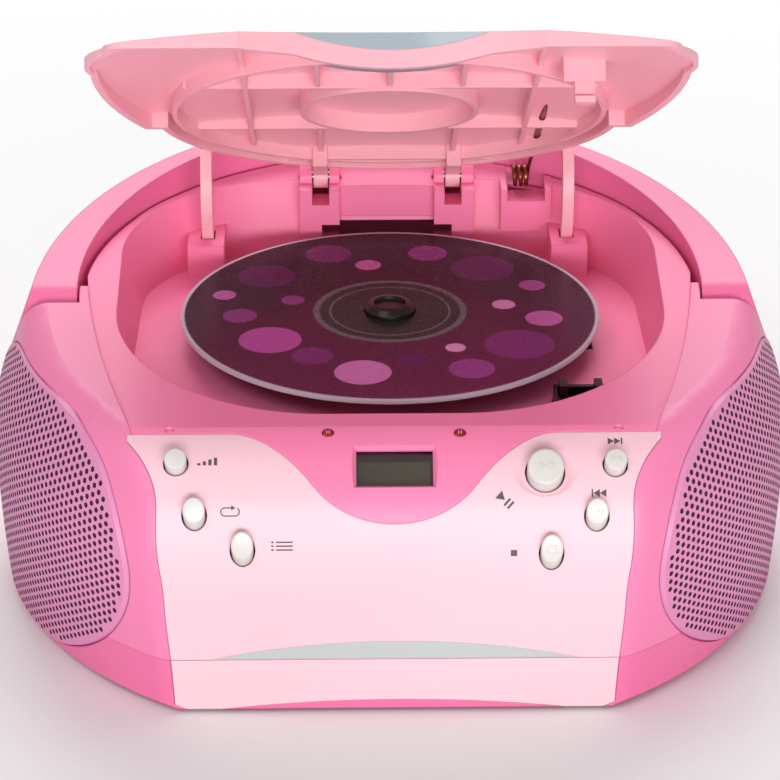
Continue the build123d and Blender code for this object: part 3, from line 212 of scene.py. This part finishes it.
class Shader:
    """A node material built step by step."""

    def __init__(self, name):
        self.material = bpy.data.materials.new(name)
        self.material.use_nodes = True
        self.tree = self.material.node_tree
        self.tree.nodes.clear()
        out = self.add("ShaderNodeOutputMaterial")
        self.bsdf = self.add("ShaderNodeBsdfPrincipled")
        self.link(self.bsdf.outputs[0], out.inputs["Surface"])
        self.place = self.add("ShaderNodeTexCoord").outputs["Object"]

    def add(self, kind, **values):
        node = self.tree.nodes.new(kind)
        for key, value in values.items():
            setattr(node, key, value)
        return node

    def link(self, start, end):
        self.tree.links.new(start, end)

    def feed(self, value, name):
        """Links a value to an input of the shader itself."""
        self.link(value, self.bsdf.inputs[name])

    def set(self, **values):
        """Sets plain numbers on the shader itself, with _ in place of a space in a name."""
        for key, value in values.items():
            self.bsdf.inputs[key.replace("_", " ")].default_value = value

    def noise(self, scale, detail=3.0, rough=0.5, place=None):
        node = self.add("ShaderNodeTexNoise")
        node.inputs["Scale"].default_value = scale
        node.inputs["Detail"].default_value = detail
        node.inputs["Roughness"].default_value = rough
        self.link(place or self.place, node.inputs["Vector"])
        return node.outputs["Fac"]

    def axes(self, place):
        """The three coordinates of a place."""
        node = self.add("ShaderNodeSeparateXYZ")
        self.link(place, node.inputs[0])
        return node.outputs["X"], node.outputs["Y"], node.outputs["Z"]

    def math(self, kind, a, b=0.0):
        node = self.add("ShaderNodeMath", operation=kind)
        for index, value in enumerate((a, b)):
            if isinstance(value, (int, float)):
                node.inputs[index].default_value = value
            else:
                self.link(value, node.inputs[index])
        return node.outputs[0]

    def distance(self, across, along):
        """Length of a step across and along."""
        squares = [self.math("MULTIPLY", part, part) for part in (across, along)]
        return self.math("SQRT", self.math("ADD", *squares))

    def mix(self, factor, a, b):
        node = self.add("ShaderNodeMix", data_type="RGBA", blend_type="MIX")
        for socket, value in ((node.inputs[0], factor), (node.inputs[6], a), (node.inputs[7], b)):
            if isinstance(value, (int, float, tuple)):
                socket.default_value = value
            else:
                self.link(value, socket)
        return node.outputs[2]

    def span(self, value, low, high, to_low=0.0, to_high=1.0):
        """A value's way from low to high, as a number from to_low to to_high."""
        node = self.add("ShaderNodeMapRange")
        self.link(value, node.inputs[0])
        for index, number in enumerate((low, high, to_low, to_high)):
            node.inputs[index + 1].default_value = number
        return node.outputs[0]

    def bump(self, height, strength, distance, edge=0.0):
        """Relief of a height and rounded edges of a radius, both in metres."""
        node = self.add("ShaderNodeBump")
        node.inputs["Strength"].default_value = strength
        node.inputs["Distance"].default_value = distance
        self.link(height, node.inputs["Height"])
        if edge:
            bevel = self.add("ShaderNodeBevel", samples=4)
            bevel.inputs["Radius"].default_value = edge
            self.link(bevel.outputs[0], node.inputs["Normal"])
        self.feed(node.outputs[0], "Normal")


def moulded(name, colour, rough, grain, edge, coat=0.0, soft=0.0):
    """Moulded plastic: fine spark texture, faint uneven tone, edges rounded by so many millimetres."""
    shader = Shader(name)
    tone = linear(*colour)
    cloud = shader.span(shader.noise(scale=9.0, detail=2.0), 0.3, 0.7)
    shader.feed(shader.mix(cloud, shifted(tone, 0.965), shifted(tone, 1.03)), "Base Color")
    spark = shader.noise(scale=2600.0, detail=2.0)
    shader.feed(shader.span(spark, 0.2, 0.8, rough - 0.04, rough + 0.06), "Roughness")
    shader.bump(spark, strength=grain, distance=0.00006, edge=edge * MM)
    shader.set(Coat_Weight=coat, Coat_Roughness=0.12, Specular_IOR_Level=0.35)
    if soft:
        shader.set(Subsurface_Weight=soft, Subsurface_Scale=0.004, Subsurface_Radius=(1.0, 0.45, 0.4))
    return shader.material


def metal(name, colour, rough, streak=(1.0, 1.0, 12.0)):
    """Drawn or brushed metal with fine lines across one direction."""
    shader = Shader(name)
    stretch = shader.add("ShaderNodeMapping")
    stretch.inputs["Scale"].default_value = streak
    shader.link(shader.place, stretch.inputs["Vector"])
    lines = shader.noise(scale=900.0, detail=3.0, rough=0.6, place=stretch.outputs[0])
    tone = linear(*colour)
    shader.feed(shader.mix(lines, shifted(tone, 0.85), shifted(tone, 1.1)), "Base Color")
    shader.feed(shader.span(lines, 0.3, 0.7, rough - 0.06, rough + 0.08), "Roughness")
    shader.bump(lines, strength=0.15, distance=0.00004, edge=0.2 * MM)
    shader.set(Metallic=1.0)
    return shader.material


def board():
    """Circuit board: lacquer over faint copper tracks."""
    shader = Shader("board_lacquer")
    tracks = shader.add("ShaderNodeTexVoronoi", feature="DISTANCE_TO_EDGE", distance="MANHATTAN")
    tracks.inputs["Scale"].default_value = 260.0
    shader.link(shader.place, tracks.inputs["Vector"])
    line = shader.span(tracks.outputs["Distance"], 0.03, 0.06)
    shader.feed(shader.mix(line, linear(92, 150, 84), linear(38, 104, 58)), "Base Color")
    shader.bump(line, strength=0.2, distance=0.0001)
    shader.set(Roughness=0.35)
    return shader.material


def paper():
    """Pulp of the speaker cones, with its fibres."""
    shader = Shader("cone_paper")
    fibre = shader.noise(scale=1400.0, detail=6.0, rough=0.7)
    shader.feed(shader.mix(fibre, linear(34, 31, 33), linear(62, 58, 60)), "Base Color")
    shader.bump(fibre, strength=0.5, distance=0.0002)
    shader.set(Roughness=0.9)
    return shader.material


def rubber():
    """Dull, fine-grained rubber of the feet."""
    shader = Shader("foot_rubber")
    grain = shader.noise(scale=1800.0, detail=4.0)
    shader.feed(shader.mix(grain, linear(52, 44, 48), linear(74, 64, 70)), "Base Color")
    shader.bump(grain, strength=0.4, distance=0.0001, edge=0.6 * MM)
    shader.set(Roughness=0.8)
    return shader.material


def clear(name, colour):
    """Thin clear window with faint smears."""
    shader = Shader(name)
    smear = shader.noise(scale=60.0)
    shader.feed(shader.mix(smear, linear(*colour), linear(250, 250, 248)), "Base Color")
    shader.feed(shader.span(smear, 0.3, 0.7, 0.03, 0.08), "Roughness")
    shader.set(Transmission_Weight=1.0, IOR=1.49, Specular_IOR_Level=0.3)
    return shader.material


def lamp_red():
    """Red lens that lets a little light through."""
    shader = Shader("lamp_red")
    cloud = shader.noise(scale=500.0)
    shader.feed(shader.mix(cloud, linear(150, 12, 28), linear(190, 24, 44)), "Base Color")
    shader.bump(cloud, strength=0.1, distance=0.00005)
    shader.set(Roughness=0.15, Transmission_Weight=0.3, IOR=1.5)
    return shader.material


def liquid_crystal():
    """Reflective display: grey-brown glass with a faint grain, with painted shade of its recess: darker
    towards the left and along its top and sides.
    """
    shader = Shader("display_glass")
    across, _, height = shader.axes(shader.place)
    # Painted shade of the recess: the glass darkens towards its left side.
    left_painted_shade = shader.span(across, -DISPLAY_HALF, DISPLAY_HALF)
    base = shader.mix(left_painted_shade, linear(96, 82, 68), linear(112, 99, 80))
    # Painted shade of the recess: dark bands along the top and the sides of the glass.
    top_painted_shade = shader.span(height, *DISPLAY_TOP_PAINTED_SHADE)
    side_painted_shade = shader.span(shader.math("ABSOLUTE", across), *DISPLAY_SIDE_PAINTED_SHADE)
    base = shader.mix(shader.math("MAXIMUM", top_painted_shade, side_painted_shade), base, linear(66, 14, 24))
    grain = shader.span(shader.noise(scale=900.0), 0.3, 0.7, 0.0, 0.12)
    shader.feed(shader.mix(grain, base, linear(60, 52, 48)), "Base Color")
    shader.set(Roughness=0.18, Coat_Weight=0.6, Coat_Roughness=0.05)
    return shader.material


def disc_print():
    """Printed top of the disc: a dark plum field that warms to magenta, with dots and a grey hub."""
    shader = Shader("disc_print")
    middle = shader.add("ShaderNodeVectorMath", operation="SUBTRACT")
    middle.inputs[1].default_value = DISC_MIDDLE
    shader.link(shader.place, middle.inputs[0])
    across, along, _ = shader.axes(middle.outputs[0])
    radius = shader.distance(across, along)
    slope = shader.math("ADD", shader.math("MULTIPLY", along, -1.0), shader.math("MULTIPLY", across, 0.25))
    base = shader.mix(shader.span(slope, -0.045, 0.06), linear(27, 4, 20), linear(104, 26, 72))
    for x, y, size, colour, strength in DISC_DOTS:
        reach = shader.distance(
            shader.math("SUBTRACT", across, x * MM),
            shader.math("SUBTRACT", along, y * MM))
        dot = shader.span(reach, size * MM, (size - DOT_EDGE) * MM, 0.0, strength)
        base = shader.mix(dot, base, linear(*colour))
    base = shader.mix(shader.span(radius, *DISC_RIM), base, linear(196, 190, 200))
    base = shader.mix(shader.span(radius, *HUB_GREY), base, linear(104, 102, 106))
    base = shader.mix(shader.span(radius, *HUB_DARK), base, linear(40, 42, 42))
    ring_sides = [shader.span(radius, *side) for side in (HUB_RING_INNER, HUB_RING_OUTER)]
    ring = shader.math("MULTIPLY", shader.math("MULTIPLY", *ring_sides), 0.6)
    shader.feed(shader.mix(ring, base, linear(128, 126, 130)), "Base Color")
    shader.feed(shader.span(shader.noise(scale=700.0), 0.2, 0.8, 0.22, 0.32), "Roughness")
    shader.set(Coat_Weight=0.04, Coat_Roughness=0.1, Specular_IOR_Level=0.12)
    return shader.material


def make_materials():
    """One material for each slot of the record, and those of the scene's own pieces."""
    deck = (252, 134, 178)
    return {
        "deck_pink": moulded("deck_pink", deck, rough=0.36, grain=0.2, edge=0.5),
        "deck_flush": moulded("deck_flush", deck, rough=0.36, grain=0.2, edge=0.0),
        "pod_pink": moulded("pod_pink", (244, 134, 178), rough=0.34, grain=0.2, edge=0.5),
        "panel_pale": moulded("panel_pale", (248, 201, 212), rough=0.38, grain=0.3, edge=0.4),
        "chin_pale": moulded("chin_pale", (246, 203, 213), rough=0.38, grain=0.3, edge=0.4),
        "lid_pink": moulded("lid_pink", (253, 186, 198), rough=0.36, grain=0.25, edge=0.4, soft=0.15),
        "handle_pink": moulded("handle_pink", (240, 118, 166), rough=0.34, grain=0.2, edge=0.7),
        "grey_trim": moulded("grey_trim", (192, 198, 196), rough=0.35, grain=0.2, edge=0.25),
        "lens_grey": moulded("lens_grey", (170, 182, 190), rough=0.15, grain=0.05, edge=0.25, coat=0.5),
        "key_white": moulded("key_white", (222, 217, 213), rough=0.3, grain=0.15, edge=0.3, coat=0.2),
        "black_plastic": moulded("black_plastic", (26, 20, 18), rough=0.3, grain=0.3, edge=0.2),
        "inner_white": moulded("inner_white", (226, 222, 218), rough=0.45, grain=0.3, edge=0.3),
        "core_dark": metal("core_dark", (84, 80, 78), rough=0.45),
        "steel": metal("steel", (176, 178, 182), rough=0.3),
        "chrome": metal("chrome", (214, 216, 220), rough=0.12, streak=(12.0, 1.0, 1.0)),
        "copper_wire": metal("copper_wire", (150, 92, 66), rough=0.3),
        # Painted shade: dark colour of the grille holes' walls and bottoms.
        "grille_shade": moulded("grille_shade", (62, 24, 46), rough=0.7, grain=0.3, edge=0.0),
        "grille_cloth": moulded("grille_sheet", (226, 142, 186), rough=0.4, grain=0.2, edge=0.0),
        "ink_grey": moulded("ink_grey", (92, 82, 84), rough=0.5, grain=0.1, edge=0.0),
        "lcd": liquid_crystal(),
        "clear_window": clear("clear_window", (236, 234, 228)),
        "led_red": lamp_red(),
        "board_green": board(),
        "paper_cone": paper(),
        "rubber_foot": rubber(),
        "disc_print": disc_print(),
    }


def dress_nodes(frame, materials):
    """Gives every CAD node the material of its slot in the record."""
    slots = {part["node"]: part["material_slot"] for part in frame["record"]["subparts"]}
    for name, node in frame["nodes"].items():
        node.data.materials.clear()
        node.data.materials.append(materials[slots[name]])


def mesh_from(bm, name):
    """Turns a finished bmesh into a mesh with its faces outward."""
    bmesh.ops.recalc_face_normals(bm, faces=bm.faces)
    mesh = bpy.data.meshes.new(name)
    bm.to_mesh(mesh)
    bm.free()
    return mesh


def new_piece(name, mesh, material, body, smooth=True):
    """Puts a mesh into the scene as a piece that rides on a body."""
    piece = bpy.data.objects.new(name, mesh)
    bpy.context.scene.collection.objects.link(piece)
    mesh.materials.append(material)
    for face in mesh.polygons:
        face.use_smooth = smooth
    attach(piece, body)
    return piece


def barrel_radius(z):
    """Radius of the barrel at a height, both in millimetres."""
    shoulder_z = BELLY_Z + UPPER_ARC * math.sin(SHOULDER_ANGLE)
    if z > shoulder_z:
        shoulder_r = BELLY_R - UPPER_ARC * (1 - math.cos(SHOULDER_ANGLE))
        return shoulder_r - (z - shoulder_z) * math.tan(SHOULDER_ANGLE)
    arc = LOWER_ARC if z < BELLY_Z else UPPER_ARC
    return BELLY_R - arc + math.sqrt(arc * arc - (z - BELLY_Z) ** 2)


def grille_distance(y, z):
    """Signed distance from the grille's outline in side view: negative inside."""
    dy = abs(y - GRILLE_Y) - (GRILLE_LENGTH / 2 - GRILLE_CORNER)
    dz = abs(z - GRILLE_Z) - (GRILLE_HEIGHT / 2 - GRILLE_CORNER)
    outside = math.hypot(max(dy, 0.0), max(dz, 0.0))
    return outside + min(max(dy, dz), 0.0) - GRILLE_CORNER


def snapped(y, z):
    """The nearest point of the outline."""
    for _ in range(SNAP_ROUNDS):
        away = grille_distance(y, z)
        slope_y = (grille_distance(y + SNAP_STEP, z) - away) / SNAP_STEP
        slope_z = (grille_distance(y, z + SNAP_STEP) - away) / SNAP_STEP
        y -= away * slope_y
        z -= away * slope_z
    return y, z


def side_view(arc, z):
    """Where a point of the unrolled sheet comes to lie in side view, in millimetres."""
    radius = barrel_radius(z) + GRILLE_PROUD
    return BARREL_Y - radius * math.sin(arc / BELLY_R), z


def on_sheet(side, y, z, depth=0.0):
    """Point of the bent sheet in metres, for a place in side view in millimetres."""
    radius = barrel_radius(z) + GRILLE_PROUD - depth
    across = math.sqrt(max(radius * radius - (y - BARREL_Y) ** 2, 0.0))
    return side * across * MM, y * MM, z * MM


def hole_turn(step):
    """Angle of one corner of a hole."""
    return math.radians(360 / HOLE_SIDES * step)


def cell_outline(bm, side, arc, z, known):
    """Corners and edge middles of a six-sided cell, shared with the cells beside it."""
    outline = []
    for step in range(HOLE_SIDES):
        reach = HOLE_PITCH / 2 if step % 2 else HOLE_PITCH / math.sqrt(3)
        turn = hole_turn(step)
        place = (arc + reach * math.cos(turn), z + reach * math.sin(turn))
        key = tuple(round(part * CORNER_GRID) for part in place)
        if key not in known:
            spot = side_view(*(part / CORNER_GRID for part in key))
            known[key] = bm.verts.new(on_sheet(side, *spot))
        outline.append(known[key])
    return outline


def add_hole(bm, side, arc, z, outline):
    """Fills a cell with sheet round a blind hole, whose wall and bottom take the second material, a dark
    painted shade: the real wall is the sheet's pink, and the bottom stands in for the shade behind the
    sheet.
    """
    walls = []
    for step in range(HOLE_SIDES):
        turn = hole_turn(step)
        spot = side_view(arc + HOLE_R * math.cos(turn), z + HOLE_R * math.sin(turn))
        walls.append([bm.verts.new(on_sheet(side, *spot, depth)) for depth in (0.0, SHEET_T)])
    for step in range(HOLE_SIDES):
        after = (step + 1) % HOLE_SIDES
        (top, low), (top_next, low_next) = walls[step], walls[after]
        bm.faces.new((outline[step], outline[after], top_next, top))
        bm.faces.new((top, top_next, low_next, low)).material_index = 1
    bm.faces.new([low for top, low in walls]).material_index = 1


def fit_rim(bm, side, sheet):
    """Draws the sheet's edge onto its outline and turns it down into a skirt."""
    rim = [edge for edge in bm.edges if edge.is_boundary and sheet.issuperset(edge.verts)]
    for vert in {vert for edge in rim for vert in edge.verts}:
        vert.co = on_sheet(side, *snapped(vert.co.y / MM, vert.co.z / MM))
    skirt = bmesh.ops.extrude_edge_only(bm, edges=rim)
    for item in skirt["geom"]:
        if isinstance(item, bmesh.types.BMVert):
            item.co.x = on_sheet(side, item.co.y / MM, item.co.z / MM, SKIRT_DEEP)[0]


def grille_mesh(side):
    """Perforated sheet with staggered holes, bent round the barrel; side is 1 right and -1 left."""
    bm = bmesh.new()
    known = {}
    column_width = HOLE_PITCH * math.sqrt(3) / 2
    rows = int(GRILLE_HEIGHT / HOLE_PITCH) + SPARE_ROWS
    for column in range(int(LAYOUT_LENGTH / column_width)):
        arc = LAYOUT_START + column * column_width
        for row in range(rows):
            z = GRILLE_Z + (row - rows / 2 + 0.5 * (column % 2)) * HOLE_PITCH
            away = grille_distance(*side_view(arc, z))
            if away > 0.0:
                continue
            outline = cell_outline(bm, side, arc, z, known)
            if away > -HOLE_MARGIN:
                bm.faces.new(outline)
            else:
                add_hole(bm, side, arc, z, outline)
    fit_rim(bm, side, set(known.values()))
    return mesh_from(bm, "grille")


def make_grilles(materials):
    for name, side in (("right", 1), ("left", -1)):
        mesh = grille_mesh(side)
        sheet = new_piece(f"{name}_grille_sheet", mesh, materials["grille_cloth"], "case", smooth=False)
        sheet.data.materials.append(materials["grille_shade"])
        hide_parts(f"{name}_grille")


def bar(x0, y0, x1, y1):
    return [(x0, y0), (x1, y0), (x1, y1), (x0, y1)]


def arrow(x, y, size):
    """Triangle that points along x."""
    half = size * 0.62
    return [(x, y - half), (x + size, y), (x, y + half)]


def ring_part(x, y, outer, inner, start, end, steps=10):
    """Quads of a flat ring between two angles in degrees."""
    quads = []
    for k in range(steps):
        a, b = (math.radians(start + (end - start) * j / steps) for j in (k, k + 1))
        places = ((inner, a), (outer, a), (outer, b), (inner, b))
        quads.append([(x + r * math.cos(t), y + r * math.sin(t)) for r, t in places])
    return quads


def symbol_outlines():
    """Flat outlines of the generic symbols, about 6 mm wide, in millimetres."""
    rising = [bar(-3 + 1.7 * k, -1.1, -2.0 + 1.7 * k, -0.4 + 0.6 * k) for k in range(4)]
    loop = ring_part(-1.4, 0, 1.3, 0.95, 90, 270) + ring_part(1.4, 0, 1.3, 0.95, -90, 60)
    loop += [bar(-1.4, -1.3, 1.4, -0.95), bar(-1.4, 0.95, 0.5, 1.3), arrow(0.3, 1.12, 1.2)]
    lines = [bar(-1.6, -1.3 + 1.05 * k, 2.8, -0.9 + 1.05 * k) for k in range(3)]
    lines += [bar(-2.8, -1.35 + 1.05 * k, -2.2, -0.85 + 1.05 * k) for k in range(3)]
    forward = [arrow(-2.4, 0, 2.1), arrow(-0.3, 0, 2.1), bar(1.9, -1.3, 2.4, 1.3)]
    backward = [[(-x, y) for x, y in reversed(part)] for part in forward]
    return {
        "bars": rising,
        "loop": loop,
        "list": lines,
        "next": forward,
        "back": backward,
        "stop": [bar(-1.2, -1.2, 1.2, 1.2)],
        "play": [arrow(-2.6, 0, 2.6), bar(0.6, -1.4, 1.3, 1.4), bar(2.0, -1.4, 2.7, 1.4)],
        # Painted light: two white bars laid on an indicator lens to make it look switched on.
        "painted_light_bars": [bar(-0.5, -0.45, -0.2, 0.45), bar(0.2, -0.45, 0.5, 0.45)],
    }


def surface(node):
    """Search tree of one object's surface."""
    mesh = node.data
    return BVHTree.FromPolygons([v.co for v in mesh.vertices], [tuple(f.vertices) for f in mesh.polygons])


def through_pixel(tree, pixel):
    """Where the camera's ray through a pixel of the photograph meets a surface, and the normal there."""
    camera = bpy.context.scene.camera
    turn = camera.rotation_euler.to_matrix()
    ray = Vector((pixel[0] - PHOTO_SIZE / 2, PHOTO_SIZE / 2 - pixel[1], -PHOTO_FOCAL)).normalized()
    return tree.ray_cast(camera.location, turn @ ray)[:2]


def level_axes(normal):
    """The level direction along a surface and the one up it."""
    across = (Vector((1, 0, 0)) - normal * normal.x).normalized()
    return across, normal.cross(across)


def add_symbol(bm, outlines, tree, centre, normal, scale, turn=0.0, lift=INK_LIFT, deep=INK_DEEP):
    """Lays a symbol on a surface as thin raised ink."""
    across, up = level_axes(normal)
    cosine, sine = math.cos(math.radians(turn)), math.sin(math.radians(turn))
    for outline in outlines:
        tops, lows = [], []
        for x, y in outline:
            a, b = x * cosine - y * sine, x * sine + y * cosine
            over = centre + (across * a + up * b) * scale * MM + normal * INK_SEARCH * MM
            hit = tree.ray_cast(over, -normal)[0]
            spot = hit or over - normal * INK_SEARCH * MM
            tops.append(bm.verts.new(spot + normal * lift * MM))
            lows.append(bm.verts.new(spot - normal * deep * MM))
        bm.faces.new(tops)
        bm.faces.new(lows[::-1])
        count = len(tops)
        for k in range(count):
            after = (k + 1) % count
            bm.faces.new((tops[k], lows[k], lows[after], tops[after]))


def add_dome(bm, centre, normal, across, up, profile, sides):
    """Closed dome on an oval with the half axes across and up, from rings given as a share of the
    oval and a height in millimetres."""
    rings = []
    for share, height in profile:
        rings.append([
            bm.verts.new(centre + normal * height * MM + (across * math.cos(t) + up * math.sin(t)) * share)
            for t in (2 * math.pi * k / sides for k in range(sides))
        ])
    for low, high in zip(rings, rings[1:]):
        for k in range(sides):
            after = (k + 1) % sides
            bm.faces.new((low[k], low[after], high[after], high[k]))
    bm.faces.new(rings[-1])
    bm.faces.new(rings[0][::-1])


def make_panel_symbols(frame, materials):
    outlines = symbol_outlines()
    tree = surface(frame["nodes"]["front_panel"])
    bm = bmesh.new()
    for name, pixel, scale, turn in PANEL_SYMBOLS:
        spot, normal = through_pixel(tree, pixel)
        add_symbol(bm, outlines[name], tree, spot, normal, scale, turn)
    mesh = mesh_from(bm, "panel_symbols")
    ink = new_piece("panel_symbols", mesh, materials["ink_grey"], "case", smooth=False)


def plate_mesh(tree, x, y):
    """Plate laid on a surface round a pixel of the photograph, with a skirt down its edges."""
    rows = []
    for step in range(PLATE_ROWS):
        row_y = y + PLATE_START + PLATE_STEP * step
        sides = [through_pixel(tree, (x + reach, row_y)) for reach in (-PLATE_HALF, PLATE_HALF)]
        rows.append([[spot + normal * height * MM for spot, normal in sides] for height in PLATE_HEIGHTS])
    bm = bmesh.new()
    sheet = [[bm.verts.new(spot) for spot in high] for high, low in rows]
    skirt = [[[bm.verts.new(spot) for spot in level] for level in row] for row in rows]
    for step in range(PLATE_ROWS - 1):
        bm.faces.new((*sheet[step], *sheet[step + 1][::-1]))
        (high, low), (high_next, low_next) = skirt[step], skirt[step + 1]
        for k in (0, 1):
            bm.faces.new((high[k], low[k], low_next[k], high_next[k]))
    for high, low in (skirt[0], skirt[-1]):
        bm.faces.new((high[0], high[1], low[1], low[0]))
    return mesh_from(bm, "surround")


def make_indicator_lenses(frame, materials):
    """Small domed lenses, each with two white bars of painted light that make it look switched on, each on
    a flush plate in the deck's front.
    """
    tree = surface(frame["nodes"]["top_case"])
    painted_light_outlines = symbol_outlines()["painted_light_bars"]
    for name, (x, y) in zip(("left", "right"), INDICATORS):
        plate = plate_mesh(tree, x, y)
        surround = new_piece(f"{name}_indicator_surround", plate, materials["deck_flush"], "case")
        centre, normal = through_pixel(surface(surround), (x, y))
        across, up = level_axes(normal)
        bm = bmesh.new()
        add_dome(
            bm, centre, normal, across * LENS_ACROSS * MM, up * LENS_UP * MM, LENS_PROFILE, LENS_SIDES)
        lens = new_piece(f"{name}_indicator_lens", mesh_from(bm, "lens"), materials["led_red"], "case")
        bm = bmesh.new()
        # Painted light: white bars on the lens that make it look switched on.
        add_symbol(bm, painted_light_outlines, surface(lens), centre, normal, scale=1.0)
        mesh = mesh_from(bm, "marks")
        marks = new_piece(f"{name}_indicator_painted_light", mesh, materials["key_white"], "case", smooth=False)


def key_face(node):
    """Centre, normal and half sizes of the flat outer face of a key."""
    mesh = node.data
    out = [face for face in mesh.polygons if face.normal.y < -0.5 and face.normal.z > 0.0]

    def area_that_way(face):
        return sum(other.area for other in out if other.normal.dot(face.normal) > 0.999)

    normal = max(out, key=area_that_way).normal
    level = max(mesh.vertices[k].co.dot(normal) for face in out for k in face.vertices)
    rim = [vert.co for vert in mesh.vertices if abs(vert.co.dot(normal) - level) < 0.02 * MM]
    across = Vector((1, 0, 0))
    up = normal.cross(across)
    spans = [(min(co.dot(axis) for co in rim), max(co.dot(axis) for co in rim)) for axis in (across, up)]
    middle = [(low + high) / 2 for low, high in spans]
    centre = across * middle[0] + up * middle[1] + normal * level
    return centre, normal.copy(), [(high - low) / 2 for low, high in spans]


def crown_profile(height):
    """Rings of a key's crown from rim to middle, as shares of its outline with heights in millimetres."""
    edge_turns = [math.radians(15 * k) for k in range(1, 7)]
    rounded_edge = [
        (1.0 - CROWN_EDGE_WIDTH * (1 - math.cos(turn)), CROWN_EDGE_HEIGHT * height * math.sin(turn))
        for turn in edge_turns
    ]
    return [(1.0, -0.2), *rounded_edge, (0.5, 0.93 * height), (0.02, height)]


def make_key_crowns(frame, materials):
    """Softly crowned cap tops, one for each key, and raised symbols on some."""
    outlines = symbol_outlines()
    for name in KEYS:
        body = f"{name}_body"
        centre, normal, (half, tall) = key_face(frame["nodes"][name])
        across = Vector((1, 0, 0))
        up = normal.cross(across)
        profile = crown_profile(PLAY_CROWN if name == "play_key" else KEY_CROWN)
        bm = bmesh.new()
        add_dome(bm, centre, normal, across * half, up * tall, profile, CROWN_SIDES)
        crown = new_piece(f"{name}_crown", mesh_from(bm, f"{name}_crown"), materials["key_white"], body)
        if name not in KEY_SYMBOLS:
            continue
        symbol, scale = KEY_SYMBOLS[name]
        bm = bmesh.new()
        add_symbol(
            bm, outlines[symbol], surface(crown), centre, normal, scale,
            lift=KEY_SYMBOL_LIFT, deep=KEY_SYMBOL_DEEP)
        mesh = mesh_from(bm, f"{name}_symbol")
        icon = new_piece(f"{name}_symbol", mesh, materials["key_white"], body, smooth=False)


def make_floor():
    """Pale floor, white to the camera where the light falls on it."""
    corner_signs = ((-1, -1), (1, -1), (1, 1), (-1, 1))
    mesh = bpy.data.meshes.new("floor")
    mesh.from_pydata([(x * FLOOR_HALF, y * FLOOR_HALF, 0) for x, y in corner_signs], [], [(0, 1, 2, 3)])
    floor = bpy.data.objects.new("floor", mesh)
    bpy.context.scene.collection.objects.link(floor)
    shader = Shader("floor_paper")
    seen = shader.add("ShaderNodeLightPath").outputs["Is Camera Ray"]
    shader.feed(shader.mix(seen, FLOOR_LIT, FLOOR_SEEN), "Base Color")
    shader.set(Roughness=0.9, Specular_IOR_Level=0.1)
    mesh.materials.append(shader.material)


def area_light(name, at, size, power):
    """Rectangular lamp that looks at the object."""
    data = bpy.data.lights.new(name, "AREA")
    data.shape = "RECTANGLE"
    data.size, data.size_y = size
    data.energy = power
    light = bpy.data.objects.new(name, data)
    bpy.context.scene.collection.objects.link(light)
    light.location = at
    light.rotation_euler = (Vector(LIGHT_AIM) - Vector(at)).to_track_quat("-Z", "Y").to_euler()


def make_lights():
    world = bpy.data.worlds.new("studio")
    bpy.context.scene.world = world
    world.use_nodes = True
    sky = world.node_tree.nodes["Background"]
    sky.inputs["Color"].default_value = SKY_COLOUR
    sky.inputs["Strength"].default_value = SKY_STRENGTH
    for light in LIGHTS:
        area_light(*light)


def make_camera():
    data = bpy.data.cameras.new("photo_camera")
    data.sensor_width = CAMERA_SENSOR
    data.lens = CAMERA_LENS
    data.clip_start = CAMERA_NEAR
    camera = bpy.data.objects.new("photo_camera", data)
    bpy.context.scene.collection.objects.link(camera)
    camera.location = CAMERA_AT
    camera.rotation_euler = (math.radians(90.0 - CAMERA_DOWN), 0.0, math.radians(-CAMERA_TURN))
    bpy.context.scene.camera = camera


def main():
    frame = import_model()
    materials = make_materials()
    make_camera()
    make_lights()
    make_floor()
    dress_nodes(frame, materials)
    make_grilles(materials)
    make_panel_symbols(frame, materials)
    make_key_crowns(frame, materials)
    make_indicator_lenses(frame, materials)
    bpy.context.scene.view_settings.view_transform = "Standard"


main()
